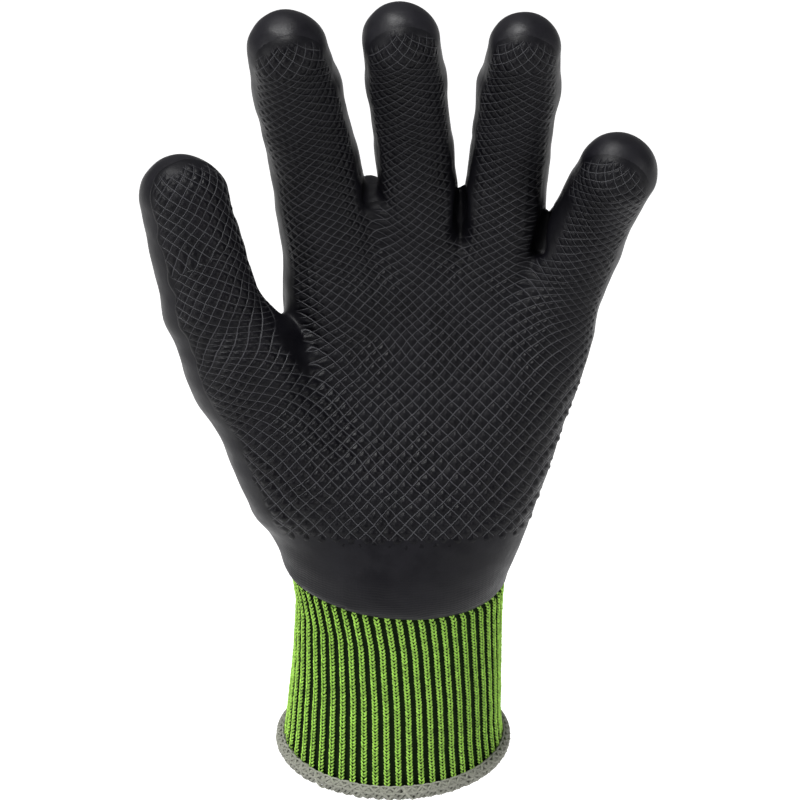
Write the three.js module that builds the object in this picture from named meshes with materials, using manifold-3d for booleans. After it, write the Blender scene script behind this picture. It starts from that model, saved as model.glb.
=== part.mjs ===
// Latex coated grip glove, standing as worn on a left hand and held up by its wrist opening.
// Millimetres, +Z up. The origin is the middle of the hem, the palm faces -Y and the thumb points to -X.
import * as THREE from "three";
import { mergeVertices } from "three/addons/utils/BufferGeometryUtils.js";
import Module from "manifold-3d";

// Whole hand
const HAND_LEAN = 25; // degrees that the palm leans back from upright
const PALM_LENGTH = 81; // wrist centre to the middle knuckle
const PALM_BREADTH = 90; // twice the reach of the little knuckle from the middle line
const PALM_DEPTH = 36; // through the heel of the hand
const FINGER_LENGTH = 84; // middle knuckle to the centre of its tip
const FINGER_WIDTH = 25; // across a middle finger
const THUMB_SPREAD = 62.2; // sideways reach of the thumb's tip
const THUMB_REACH = 107.4; // how far up the hand the thumb's tip stands
const THUMB_LIFT = 26; // how far the thumb's tip stands out of the palm
const THUMB_WIDTH = 29; // across the thumb

// Wrist and cuff
const WRIST_WIDTH = 68.6; // across the coat at the dip line
const WRIST_DEPTH = 53; // front to back there
const WRIST_SHIFT = 0.6; // sideways place of the wrist's middle
const WRIST_RISE = 9; // dip line to the wrist centre, from which the palm is measured
const CUFF_LENGTH = 66; // hem to the dip line at the wrist's middle
const CUFF_WIDTH = 66.6; // across the ribs just under the dip line
const CUFF_DEPTH = 52; // front to back over the ribs there
const CUFF_WALL = 2.2; // rib knit, top of a rib to the inside
const CUFF_TUCK = 6; // length of cuff hidden inside the coat
const RIB_COUNT = 54;
const RIB_RELIEF = 0.9; // top of a rib to the groove beside it
const RIB_LEAN = 4.5; // degrees that the ribs lean from upright
const DIP_ROLL = 5.4; // degrees that the dip line rises toward the thumb
const DIP_PITCH = 3.4; // degrees that it rises toward the back of the hand
const HEM_HEIGHT = 4.4;
const HEM_THICKNESS = 3.4;
const HEM_WIDTH = 76.4; // across the hem, outside
const HEM_DEPTH = 63.6; // front to back over the hem

// Walls
const COAT_WALL = 1.8; // latex bonded to its knit
const GRIP_WALL = 0.8; // second coat on the palm side
const CLEARANCE = 0.35; // gap between neighbouring pieces

// Blend lengths, over which two rounded forms run into each other
const PALM_BLEND = 10;
const JOINT_BLEND = 5;
const ROOT_BLEND = 6;
const WEB_BLEND = 2.5;
const THUMB_BLEND = 9;
const WRIST_BLEND = 10;

// Nets over the moulded surfaces: the cell that each is drawn with, and the triangles that it keeps
const COAT_NET = { cell: 3.4, triangles: 2880 };
const HOLLOW_NET = { cell: 4.0, triangles: 1800 };
const BORDER_NET = { cell: 5.0, triangles: 1200 };

// Fingers. across: share of PALM_BREADTH; up: share of PALM_LENGTH; length: share of FINGER_LENGTH.
// splay: degrees toward the little finger; widths: shares of FINGER_WIDTH at knuckle, two joints and tip.
// root: its metacarpal's lower end, across and up as above, width as a share of PALM_DEPTH.
// curl: degrees that each phalanx stands out of the palm.
const FINGERS = [
  {
    name: "index",
    across: -0.173,
    up: 0.959,
    splay: -11.6,
    length: 1.02,
    widths: [1.32, 1.09, 1.04, 0.95],
    curl: [14, 34, 50],
    root: { across: -0.183, up: 0.086, width: 0.939 },
  },
  {
    name: "middle",
    across: 0.129,
    up: 1.006,
    splay: -7.2,
    length: 0.994,
    widths: [1.05, 0.952, 0.944, 0.912],
    curl: [14, 34, 50],
    root: { across: -0.053, up: 0.074, width: 0.989 },
  },
  {
    name: "ring",
    across: 0.343,
    up: 0.965,
    splay: 6.0,
    length: 1.007,
    widths: [1.152, 0.976, 0.976, 0.848],
    curl: [14, 34, 50],
    root: { across: 0.089, up: 0.074, width: 1.0 },
  },
  {
    name: "little",
    across: 0.5,
    up: 0.826,
    splay: 24.1,
    length: 0.731,
    widths: [1.192, 1.024, 0.928, 0.944],
    curl: [16, 34, 48],
    root: { across: 0.223, up: 0.086, width: 0.994 },
  },
];
const PHALANX_SHARES = [0.5, 0.3, 0.2]; // of a finger's length

// Thumb from its root to its tip. across, up, out and width: shares of the four thumb sizes.
const THUMB = [
  { across: -0.435, up: 0.193, out: 0.308, width: 1.31 },
  { across: -0.729, up: 0.527, out: 0.577, width: 1.062 },
  { across: -0.879, up: 0.701, out: 0.808, width: 0.986 },
  { across: -1.0, up: 1.0, out: 1.0, width: 0.903 },
];

// Heel of the hand on the little finger's side. across: share of PALM_BREADTH; up: share of PALM_LENGTH;
// out and width: shares of PALM_DEPTH.
const HEEL = [
  { across: 0.262, up: 0.148, out: 0.083, width: 0.961 },
  { across: 0.447, up: 0.648, out: 0.056, width: 0.783 },
];

// Web of skin between the index and middle fingers, from its palm side up to its edge at the back.
// across: share of PALM_BREADTH; up: share of PALM_LENGTH; out: share of PALM_DEPTH; width: share of
// FINGER_WIDTH.
const WEB = [
  { across: -0.033, up: 1.012, out: 0.056, width: 0.72 },
  { across: -0.08, up: 1.185, out: 0.0, width: 0.44 },
  { across: -0.081, up: 1.372, out: -0.111, width: 0.28 },
];

// How far the grip coat wraps round each form from its palm side, and how far its middle turns inward
const GRIP_WRAP = { finger: 62, palm: 84, thumb: 66 }; // degrees
const THUMB_TURN = 24; // degrees
const GRIP_START = 0.03; // share of PALM_LENGTH where the grip coat begins
const GRIP_HOLD = 4; // length over which neighbouring forms share the border

// Cuff, from the hem to the dip line. up: share of the way; width and depth: shares of the sizes under the
// dip line; shift: sideways place of the row's middle, share of CUFF_WIDTH. The last rows are tucked inside
// the coat, up: share of CUFF_TUCK past the dip line.
const CUFF_ROWS = [
  { up: 0, width: 1.08, depth: 1.135, shift: 0 },
  { up: 0.2, width: 1.04, depth: 1.08, shift: 0.005 },
  { up: 0.5, width: 1.008, depth: 1.045, shift: 0.021 },
  { up: 0.8, width: 0.988, depth: 1.015, shift: 0.031 },
  { up: 0.96, width: 1.01, depth: 1.0, shift: 0.024 },
];
const TUCK_ROWS = [
  { up: 0, width: 0.958, depth: 0.945 },
  { up: 1, width: 0.95, depth: 0.9 },
];

// Hem section, outward and up from its middle, shares of its thickness and height
const HEM_SECTION = [
  { out: 0.5, up: -0.1 },
  { out: 0.3, up: 0.45 },
  { out: -0.2, up: 0.5 },
  { out: -0.5, up: 0.1 },
  { out: -0.3, up: -0.45 },
  { out: 0.2, up: -0.5 },
];
const HEM_SIDES = 58;

const wasm = await Module();
wasm.setup();

const radians = THREE.MathUtils.degToRad;

// Palm frame: u across toward the little finger, v up the palm, w out of the palm
const WRIST = new THREE.Vector3(0, 0, CUFF_LENGTH + WRIST_RISE);
const ACROSS = new THREE.Vector3(1, 0, 0);
const ALONG = new THREE.Vector3(0, Math.sin(radians(HAND_LEAN)), Math.cos(radians(HAND_LEAN)));
const OUT = new THREE.Vector3(0, -Math.cos(radians(HAND_LEAN)), Math.sin(radians(HAND_LEAN)));

function palmToWorld(q) {
  return WRIST.clone().addScaledVector(ACROSS, q.x).addScaledVector(ALONG, q.y).addScaledVector(OUT, q.z);
}

function worldToPalm(point) {
  const d = point.clone().sub(WRIST);
  return new THREE.Vector3(d.dot(ACROSS), d.dot(ALONG), d.dot(OUT));
}

// A rounded bar from one ball to another, with the direction that its pad faces.
function makeBone(from, to, fromWidth, toWidth, wrap, turn = 0) {
  const axis = to.clone().sub(from);
  const unit = axis.clone().normalize();
  const pad = new THREE.Vector3(0, 0, 1).addScaledVector(unit, -unit.z).normalize();
  pad.applyAxisAngle(unit, radians(turn));
  return {
    from,
    axis,
    square: axis.lengthSq(),
    start: fromWidth / 2,
    change: (toWidth - fromWidth) / 2,
    pad,
    reach: Math.cos(radians(wrap)),
  };
}

function boneDistance(bone, u, v, w) {
  const { from, axis } = bone;
  const a = u - from.x;
  const b = v - from.y;
  const c = w - from.z;
  const share = Math.min(1, Math.max(0, (a * axis.x + b * axis.y + c * axis.z) / bone.square));
  const gap = Math.hypot(a - share * axis.x, b - share * axis.y, c - share * axis.z);
  return gap - bone.start - bone.change * share;
}

// How far a point stands in front of the line on the bone where the grip coat ends.
function boneFront(bone, u, v, w) {
  const { from, axis, pad } = bone;
  const a = u - from.x;
  const b = v - from.y;
  const c = w - from.z;
  const share = Math.min(1, Math.max(0, (a * axis.x + b * axis.y + c * axis.z) / bone.square));
  const front = (a - share * axis.x) * pad.x + (b - share * axis.y) * pad.y + (c - share * axis.z) * pad.z;
  return front - (bone.start + bone.change * share) * bone.reach;
}

// Two distances run into one, rounded over the blend length.
function blend(first, second, length) {
  const share = Math.min(1, Math.max(0, 0.5 + (0.5 * (second - first)) / length));
  return second + (first - second) * share - length * share * (1 - share);
}

function fingerBones(row) {
  const splay = radians(row.splay);
  const points = [new THREE.Vector3(row.across * PALM_BREADTH, row.up * PALM_LENGTH, 0)];
  PHALANX_SHARES.forEach((share, i) => {
    const curl = radians(row.curl[i]);
    const length = share * row.length * FINGER_LENGTH;
    const step = new THREE.Vector3(
      Math.sin(splay) * Math.cos(curl),
      Math.cos(splay) * Math.cos(curl),
      Math.sin(curl),
    );
    points.push(points[i].clone().addScaledVector(step, length));
  });
  const widths = row.widths.map((share) => share * FINGER_WIDTH);
  return PHALANX_SHARES.map((_, i) =>
    makeBone(points[i], points[i + 1], widths[i], widths[i + 1], GRIP_WRAP.finger),
  );
}

const KNUCKLE_SWELL = 2; // a metacarpal's upper end is this much wider than its finger's root

function metacarpal(row, finger) {
  const root = new THREE.Vector3(row.root.across * PALM_BREADTH, row.root.up * PALM_LENGTH, 0);
  const width = row.root.width * PALM_DEPTH;
  return makeBone(root, finger[0].from, width, 2 * finger[0].start + KNUCKLE_SWELL, GRIP_WRAP.palm);
}

function chainBones(points, widths, wrap, turn) {
  return points.slice(1).map((point, i) => makeBone(points[i], point, widths[i], widths[i + 1], wrap, turn));
}

const fingers = FINGERS.map(fingerBones);
const thumbBones = chainBones(
  THUMB.map((r) => new THREE.Vector3(r.across * THUMB_SPREAD, r.up * THUMB_REACH, r.out * THUMB_LIFT)),
  THUMB.map((r) => r.width * THUMB_WIDTH),
  GRIP_WRAP.thumb,
  THUMB_TURN,
);
const heelBones = chainBones(
  HEEL.map((r) => new THREE.Vector3(r.across * PALM_BREADTH, r.up * PALM_LENGTH, r.out * PALM_DEPTH)),
  HEEL.map((r) => r.width * PALM_DEPTH),
  GRIP_WRAP.palm,
  0,
);
const webBones = chainBones(
  WEB.map((r) => new THREE.Vector3(r.across * PALM_BREADTH, r.up * PALM_LENGTH, r.out * PALM_DEPTH)),
  WEB.map((r) => r.width * FINGER_WIDTH),
  GRIP_WRAP.finger,
  0,
);
const palmBones = [...FINGERS.map((row, i) => metacarpal(row, fingers[i])), ...heelBones, thumbBones[0]];
const thumbTop = thumbBones.slice(1);
const allBones = [...palmBones, ...fingers.flat(), ...thumbTop];

const WRIST_TAIL = 12; // the wrist tube starts this far under the dip line
const WRIST_DOME = 0.7; // share of PALM_LENGTH over which it rounds off inside the palm

// Distance from the wrist: an upright elliptical tube that leans over and rounds off above the dip line.
function wristDistance(u, v, w) {
  const halfWidth = WRIST_WIDTH / 2;
  const halfDepth = WRIST_DEPTH / 2;
  const dome = WRIST_DOME * PALM_LENGTH;
  const z = v * ALONG.z + w * OUT.z + WRIST_RISE;
  const rise = Math.max(0, z);
  const lean = (Math.tan(radians(HAND_LEAN)) * rise ** 2) / (rise + 2 * WRIST_RISE);
  const x = u - WRIST_SHIFT;
  const y = v * ALONG.y + w * OUT.y - lean;
  const ratio = Math.hypot(x / halfWidth, y / halfDepth, rise / dome);
  const slope = Math.hypot(x / halfWidth ** 2, y / halfDepth ** 2, rise / dome ** 2) + 1e-9;
  return Math.max((ratio * (ratio - 1)) / slope, -z - WRIST_TAIL);
}

// Distance from the outer face of the coat, negative inside.
function coatDistance(u, v, w) {
  const bones = (list, length) =>
    list.map((bone) => boneDistance(bone, u, v, w)).reduce((a, b) => blend(a, b, length));
  const palm = blend(bones(palmBones, PALM_BLEND), wristDistance(u, v, w), WRIST_BLEND);
  const row = fingers.map((finger) => bones(finger, JOINT_BLEND)).reduce((a, b) => blend(a, b, WEB_BLEND));
  const webbed = blend(row, bones(webBones, WEB_BLEND), WEB_BLEND);
  return blend(blend(palm, webbed, ROOT_BLEND), bones(thumbTop, JOINT_BLEND), THUMB_BLEND);
}

// Unit direction away from the coat.
function coatNormal(u, v, w) {
  const step = 0.05;
  return new THREE.Vector3(
    coatDistance(u + step, v, w) - coatDistance(u - step, v, w),
    coatDistance(u, v + step, w) - coatDistance(u, v - step, w),
    coatDistance(u, v, w + step) - coatDistance(u, v, w - step),
  ).normalize();
}

// Negative in front of the grip coat's border, near the coat.
function gripDistance(u, v, w) {
  let weights = 0;
  let front = 0;
  for (const bone of allBones) {
    const weight = Math.exp(-boneDistance(bone, u, v, w) / GRIP_HOLD);
    weights += weight;
    front += weight * boneFront(bone, u, v, w);
  }
  const cover = FINGER_WIDTH / 4;
  return Math.max(coatDistance(u, v, w) - cover, -front / weights, GRIP_START * PALM_LENGTH - v);
}

// Samples of one field on a regular grid over the hand.
function sampleGrid(field, cell) {
  const margin = FINGER_WIDTH;
  const box = new THREE.Box3().setFromPoints(
    allBones.flatMap((bone) => [bone.from, bone.from.clone().add(bone.axis)]),
  );
  const tubeBottom = new THREE.Vector3(0, 0, CUFF_LENGTH - WRIST_TAIL);
  for (const side of [-WRIST_DEPTH / 2, WRIST_DEPTH / 2]) {
    box.expandByPoint(worldToPalm(tubeBottom.clone().setY(side)));
  }
  box.expandByScalar(margin);
  const size = box.getSize(new THREE.Vector3());
  const counts = size.toArray().map((length) => Math.ceil(length / cell) + 1);
  const place = (i, j, k) => [box.min.x + i * cell, box.min.y + j * cell, box.min.z + k * cell];
  const index = (i, j, k) => (i * counts[1] + j) * counts[2] + k;
  const values = new Float64Array(counts[0] * counts[1] * counts[2]);
  for (let i = 0; i < counts[0]; i++) {
    for (let j = 0; j < counts[1]; j++) {
      for (let k = 0; k < counts[2]; k++) {
        values[index(i, j, k)] = field(...place(i, j, k));
      }
    }
  }
  return { counts, place, index, values };
}

const AXES = [
  [1, 0, 0],
  [0, 1, 0],
  [0, 0, 1],
];

// Where two inside samples of a grid face touch only at a corner, the shallower outside sample joins them,
// so that the surface stays one clean sheet.
function joinCorners(grid) {
  const { counts, index, values } = grid;
  const joined = -1e-3;
  let changed = true;
  while (changed) {
    changed = false;
    for (const axis of [0, 1, 2]) {
      const p = AXES[(axis + 1) % 3];
      const q = AXES[(axis + 2) % 3];
      for (let i = 0; i < counts[0] - p[0] - q[0]; i++) {
        for (let j = 0; j < counts[1] - p[1] - q[1]; j++) {
          for (let k = 0; k < counts[2] - p[2] - q[2]; k++) {
            const corners = [
              index(i, j, k),
              index(i + p[0], j + p[1], k + p[2]),
              index(i + p[0] + q[0], j + p[1] + q[1], k + p[2] + q[2]),
              index(i + q[0], j + q[1], k + q[2]),
            ];
            const [a, b, c, d] = corners.map((corner) => values[corner] < 0);
            if (a === c && b === d && a !== b) {
              const outside = corners.filter((corner) => values[corner] >= 0);
              outside.sort((m, n) => values[m] - values[n]);
              values[outside[0]] = joined;
              changed = true;
            }
          }
        }
      }
    }
  }
}

// One surface vertex for each grid cell that the field's zero passes through.
function cellVertices(grid, field, reach) {
  const { counts, place, index, values } = grid;
  const vertices = [];
  const numbers = new Map();
  const corners = Array.from({ length: 8 }, (_, n) => [n & 1, (n >> 1) & 1, (n >> 2) & 1]);
  for (let i = 0; i < counts[0] - 1; i++) {
    for (let j = 0; j < counts[1] - 1; j++) {
      for (let k = 0; k < counts[2] - 1; k++) {
        const spots = corners.map(([a, b, c]) => ({
          point: place(i + a, j + b, k + c),
          value: values[index(i + a, j + b, k + c)],
        }));
        const inside = spots.filter((spot) => spot.value < 0).length;
        if (inside === 0 || inside === 8) continue;
        numbers.set(index(i, j, k), vertices.length);
        vertices.push(settle(crossingMean(spots), field, reach));
      }
    }
  }
  return { vertices, numbers };
}

// Mean of the places where the field changes sign on a cell's twelve edges.
function crossingMean(spots) {
  const sum = new THREE.Vector3();
  let count = 0;
  for (let a = 0; a < 8; a++) {
    for (const bit of [1, 2, 4]) {
      const b = a | bit;
      if (b === a || spots[a].value < 0 === spots[b].value < 0) continue;
      const share = spots[a].value / (spots[a].value - spots[b].value);
      const from = new THREE.Vector3(...spots[a].point);
      sum.add(from.lerp(new THREE.Vector3(...spots[b].point), share));
      count++;
    }
  }
  return sum.divideScalar(count);
}

// A vertex slid onto the field's zero, within reach of where its cell put it.
function settle(start, field, reach) {
  const step = 0.05;
  const rounds = 4;
  const leastSlope = 0.2;
  const point = start.clone();
  for (let round = 0; round < rounds; round++) {
    const { x, y, z } = point;
    const value = field(x, y, z);
    const slope = new THREE.Vector3(
      (field(x + step, y, z) - field(x - step, y, z)) / (2 * step),
      (field(x, y + step, z) - field(x, y - step, z)) / (2 * step),
      (field(x, y, z + step) - field(x, y, z - step)) / (2 * step),
    );
    point.addScaledVector(slope, -value / Math.max(slope.lengthSq(), leastSlope));
    const moved = point.clone().sub(start).clampLength(0, reach);
    point.copy(start).add(moved);
  }
  return point;
}

// A closed net over the zero of a field: its vertices in the palm frame, and its triangles.
function netOver(field, cell) {
  const grid = sampleGrid(field, cell);
  joinCorners(grid);
  const { vertices, numbers } = cellVertices(grid, field, cell / 2);
  const { counts, index, values } = grid;
  const triangles = [];
  for (const axis of [0, 1, 2]) {
    const step = AXES[axis];
    const p = AXES[(axis + 1) % 3];
    const q = AXES[(axis + 2) % 3];
    for (let i = 1; i < counts[0] - 1; i++) {
      for (let j = 1; j < counts[1] - 1; j++) {
        for (let k = 1; k < counts[2] - 1; k++) {
          const here = values[index(i, j, k)] < 0;
          const next = values[index(i + step[0], j + step[1], k + step[2])] < 0;
          if (here === next) continue;
          const ring = [
            index(i, j, k),
            index(i - p[0], j - p[1], k - p[2]),
            index(i - p[0] - q[0], j - p[1] - q[1], k - p[2] - q[2]),
            index(i - q[0], j - q[1], k - q[2]),
          ].map((n) => numbers.get(n));
          if (!here) ring.reverse();
          const [a, b, c, d] = ring;
          const short = vertices[a].distanceTo(vertices[c]) <= vertices[b].distanceTo(vertices[d]);
          triangles.push(...(short ? [a, b, c, a, c, d] : [a, b, d, b, c, d]));
        }
      }
    }
  }
  return { vertices, triangles };
}

// The change of shape when a vertex runs into a neighbour, or Infinity where faces would fold over.
function moveCost(vertices, faces, own, from, to) {
  const sharpest = 0.5; // cosine of the most that a face may turn
  const thinnest = 0.15; // twice a face's area over its longest side squared
  const sliding = 1e-3; // weight of a move's own length
  const step = vertices[to].clone().sub(vertices[from]);
  let cost = sliding * step.lengthSq();
  for (const number of own) {
    const face = faces[number];
    const [a, b, c] = face.map((n) => vertices[n]);
    const before = faceNormal(a, b, c);
    const area = before.length();
    before.divideScalar(area);
    cost += area * step.dot(before) ** 2;
    if (face.includes(to)) continue;
    const [d, e, f] = face.map((n) => vertices[n === from ? to : n]);
    const after = faceNormal(d, e, f);
    const longest = Math.max(d.distanceToSquared(e), e.distanceToSquared(f), f.distanceToSquared(d));
    const thin = after.length() < thinnest * longest;
    if (thin || after.normalize().dot(before) < sharpest) return Infinity;
  }
  return cost;
}

function faceNormal(a, b, c) {
  return b.clone().sub(a).cross(c.clone().sub(a));
}

// The same net with fewer triangles: in the flattest places first, a vertex runs into its neighbour.
function thinnedNet(net, wanted) {
  const { vertices } = net;
  const faces = [];
  for (let i = 0; i < net.triangles.length; i += 3) faces.push(net.triangles.slice(i, i + 3));
  const own = vertices.map(() => new Set());
  faces.forEach((face, number) => face.forEach((n) => own[n].add(number)));
  const ring = (n) => new Set([...own[n]].flatMap((number) => faces[number]).filter((m) => m !== n));
  const share = 0.12; // of the possible moves, made in each round
  let left = faces.length;
  let moves = [0];
  while (left > wanted && moves.length > 0) {
    moves = [];
    for (let from = 0; from < vertices.length; from++) {
      let best = { cost: Infinity };
      for (const to of own[from].size > 0 ? ring(from) : []) {
        const cost = moveCost(vertices, faces, own[from], from, to);
        if (cost < best.cost) best = { from, to, cost };
      }
      if (best.cost < Infinity) moves.push(best);
    }
    moves.sort((a, b) => a.cost - b.cost);
    const touched = new Set();
    let done = 0;
    for (const { from, to } of moves.slice(0, Math.ceil(share * moves.length))) {
      const near = ring(from);
      const shared = [...ring(to)].filter((n) => near.has(n));
      if (left <= wanted || shared.length !== 2 || [from, ...near].some((n) => touched.has(n))) continue;
      for (const number of own[from]) {
        const face = faces[number];
        if (face.includes(to)) {
          face.forEach((n) => n !== from && own[n].delete(number));
          faces[number] = null;
          left--;
        } else {
          face[face.indexOf(from)] = to;
          own[to].add(number);
        }
      }
      own[from].clear();
      near.forEach((n) => touched.add(n));
      touched.add(from);
      done++;
    }
    if (done === 0) break;
  }
  return packedNet(vertices, faces);
}

// A net of only the vertices that its faces use.
function packedNet(vertices, faces) {
  const numbers = new Map();
  const kept = [];
  const triangles = faces.filter(Boolean).flatMap((face) =>
    face.map((n) => {
      if (!numbers.has(n)) numbers.set(n, kept.push(vertices[n]) - 1);
      return numbers.get(n);
    }),
  );
  return { vertices: kept, triangles };
}

// A solid from world points and triangles.
function solidOf(points, triangles) {
  const vertProperties = new Float32Array(points.flatMap((point) => point.toArray()));
  const triVerts = new Uint32Array(triangles);
  return new wasm.Manifold(new wasm.Mesh({ numProp: 3, vertProperties, triVerts }));
}

function netSolid(net) {
  return solidOf(net.vertices.map(palmToWorld), net.triangles);
}

// The same net, moved outward onto the surface that lies this far off the coat.
function movedNet(net, distance) {
  const level = (u, v, w) => coatDistance(u, v, w) - distance;
  const vertices = net.vertices.map((q) => {
    const moved = q.clone().addScaledVector(coatNormal(q.x, q.y, q.z), distance);
    return settle(moved, level, 2 * distance);
  });
  return { vertices, triangles: net.triangles };
}

// A solid from one of the library's closed forms.
function formSolid(geometry) {
  geometry.deleteAttribute("normal");
  geometry.deleteAttribute("uv");
  const merged = mergeVertices(geometry, 1e-4);
  const position = merged.attributes.position;
  const points = Array.from({ length: position.count }, (_, i) =>
    new THREE.Vector3().fromBufferAttribute(position, i),
  );
  return solidOf(points, [...merged.index.array]);
}

// Height of the tilted dip line over a place on the ground.
function dipHeight(x, y) {
  return CUFF_LENGTH - x * Math.tan(radians(DIP_ROLL)) + y * Math.tan(radians(DIP_PITCH));
}

// Everything above the dip line.
function aboveDip() {
  const size = 4 * (CUFF_LENGTH + PALM_LENGTH + FINGER_LENGTH);
  const corners = new THREE.BoxGeometry(size, size, size);
  const position = corners.attributes.position;
  for (let i = 0; i < position.count; i++) {
    const x = position.getX(i);
    const y = position.getY(i);
    position.setZ(i, position.getZ(i) < 0 ? dipHeight(x, y) : size);
  }
  return formSolid(corners);
}

// Angles that space points evenly along an ellipse, starting from the back of the hand.
function evenAngles(halfWidth, halfDepth, count) {
  const fine = 1440;
  const lengths = [0];
  for (let i = 0; i < fine; i++) {
    const angle = Math.PI / 2 + (2 * Math.PI * (i + 0.5)) / fine;
    const step = Math.hypot(halfWidth * Math.sin(angle), halfDepth * Math.cos(angle));
    lengths.push(lengths[i] + step);
  }
  const whole = lengths[fine];
  return Array.from({ length: count }, (_, n) => {
    const wanted = (whole * n) / count;
    let i = lengths.findIndex((length) => length > wanted) - 1;
    const share = (wanted - lengths[i]) / (lengths[i + 1] - lengths[i]);
    return Math.PI / 2 + (2 * Math.PI * (i + share)) / fine;
  });
}

// A closed ring-shaped solid through loops of points, each joined to the next and the last to the first.
function ringSolid(loops) {
  const count = loops[0].length;
  const triangles = [];
  loops.forEach((_, i) => {
    const next = (i + 1) % loops.length;
    for (let n = 0; n < count; n++) {
      const m = (n + 1) % count;
      const [a, b] = [i * count + n, i * count + m];
      const [c, d] = [next * count + n, next * count + m];
      triangles.push(a, b, d, a, d, c);
    }
  });
  return solidOf(loops.flat(), triangles);
}

// One loop of the cuff. shrink draws it in from the tops of the ribs.
function cuffLoop(row, tucked, shrink, relief) {
  const angles = evenAngles(CUFF_WIDTH, CUFF_DEPTH, 2 * RIB_COUNT);
  const bottom = HEM_HEIGHT / 2 + CLEARANCE;
  const level = tucked ? CUFF_LENGTH + row.up * CUFF_TUCK : row.up * CUFF_LENGTH;
  const twist = (Math.tan(radians(RIB_LEAN)) * (CUFF_LENGTH - level)) / (CUFF_WIDTH / 2);
  return angles.map((even, n) => {
    const angle = even + twist;
    const inset = shrink + (n % 2 === 1 ? relief : 0);
    const middle = tucked ? WRIST_SHIFT : row.shift * CUFF_WIDTH;
    const x = middle + ((row.width * CUFF_WIDTH) / 2 - inset) * Math.cos(angle);
    const y = ((row.depth * CUFF_DEPTH) / 2 - inset) * Math.sin(angle);
    const dip = dipHeight(x, y);
    const z = tucked ? dip + row.up * CUFF_TUCK : bottom + row.up * (dip - bottom);
    return new THREE.Vector3(x, y, z);
  });
}

function cuffSolid() {
  const outer = [
    ...CUFF_ROWS.map((row) => cuffLoop(row, false, 0, RIB_RELIEF)),
    ...TUCK_ROWS.map((row) => cuffLoop(row, true, 0, RIB_RELIEF / 2)),
  ];
  const inner = [
    cuffLoop(TUCK_ROWS.at(-1), true, CUFF_WALL, 0),
    cuffLoop(CUFF_ROWS.at(-1), false, CUFF_WALL + RIB_RELIEF, 0),
    cuffLoop(CUFF_ROWS.at(-2), false, CUFF_WALL, 0),
    cuffLoop(CUFF_ROWS.at(1), false, CUFF_WALL, 0),
    cuffLoop(CUFF_ROWS.at(0), false, CUFF_WALL, 0),
  ];
  return ringSolid([...outer, ...inner]);
}

function hemSolid() {
  const middleWidth = HEM_WIDTH / 2 - HEM_THICKNESS / 2;
  const middleDepth = HEM_DEPTH / 2 - HEM_THICKNESS / 2;
  const angles = evenAngles(middleWidth, middleDepth, HEM_SIDES);
  const loops = HEM_SECTION.map((row) => {
    const out = row.out * HEM_THICKNESS;
    return angles.map(
      (angle) =>
        new THREE.Vector3(
          (middleWidth + out) * Math.cos(angle),
          (middleDepth + out) * Math.sin(angle),
          row.up * HEM_HEIGHT,
        ),
    );
  });
  return ringSolid(loops);
}

// Room inside the coat's rim for the tucked end of the cuff.
function rimSleeve() {
  const sides = 40;
  const flat = 0.1; // how far the middle of a flat side stands inside the round
  const form = new THREE.CylinderGeometry(1, 1, 1, sides);
  form.rotateX(Math.PI / 2);
  const position = form.attributes.position;
  for (let i = 0; i < position.count; i++) {
    const above = position.getZ(i) > 0;
    const row = above ? TUCK_ROWS[1] : TUCK_ROWS[0];
    const spare = CLEARANCE + flat;
    const x = WRIST_SHIFT + position.getX(i) * ((row.width * CUFF_WIDTH) / 2 + spare);
    const y = position.getY(i) * ((row.depth * CUFF_DEPTH) / 2 + spare);
    const along = above ? CUFF_TUCK + CLEARANCE : -CLEARANCE;
    position.setXYZ(i, x, y, dipHeight(x, y) + along);
  }
  return formSolid(form);
}

// The largest of a solid's separate bodies.
function largestBody(solid) {
  return solid.decompose().reduce((a, b) => (a.volume() > b.volume() ? a : b));
}

function coatSolids() {
  const hollowDistance = (u, v, w) => coatDistance(u, v, w) + COAT_WALL;
  const outerNet = thinnedNet(netOver(coatDistance, COAT_NET.cell), COAT_NET.triangles);
  const hollowNet = thinnedNet(netOver(hollowDistance, HOLLOW_NET.cell), HOLLOW_NET.triangles);
  const borderNet = thinnedNet(netOver(gripDistance, BORDER_NET.cell), BORDER_NET.triangles);
  const hollow = netSolid(hollowNet).add(rimSleeve());
  const coat = netSolid(outerNet).intersect(aboveDip()).subtract(hollow);
  const layer = netSolid(movedNet(outerNet, CLEARANCE + GRIP_WALL)).subtract(
    netSolid(movedNet(outerNet, CLEARANCE)),
  );
  const grip = layer.intersect(netSolid(borderNet));
  return { coat: largestBody(coat), grip: largestBody(grip) };
}

// A named mesh with its own finish.
function pieceMesh(name, solid, color, roughness) {
  const { vertProperties, triVerts } = solid.getMesh();
  const geometry = new THREE.BufferGeometry();
  geometry.setAttribute("position", new THREE.BufferAttribute(new Float32Array(vertProperties), 3));
  geometry.setIndex(new THREE.BufferAttribute(new Uint32Array(triVerts), 1));
  geometry.computeVertexNormals();
  const material = new THREE.MeshStandardMaterial({ name, color, roughness, metalness: 0 });
  const mesh = new THREE.Mesh(geometry, material);
  mesh.name = name;
  return mesh;
}

const { coat, grip } = coatSolids();
const glove = new THREE.Group();
glove.name = "latex_coated_grip_glove";
glove.add(pieceMesh("latex_base_coat", coat, 0x28282b, 0.42));
glove.add(pieceMesh("grip_coat", grip, 0x262628, 0.5));
glove.add(pieceMesh("rib_cuff", cuffSolid(), 0x4f6f2c, 0.95));
glove.add(pieceMesh("hem_overlock", hemSolid(), 0x898a7e, 0.95));

export default glove;
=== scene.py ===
"""Latex coated grip glove: dipped latex, netted grip coat, rib-knit cuff and overlocked hem."""

import logging
import math
from dataclasses import dataclass, field
from enum import Enum
from typing import Callable

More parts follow.
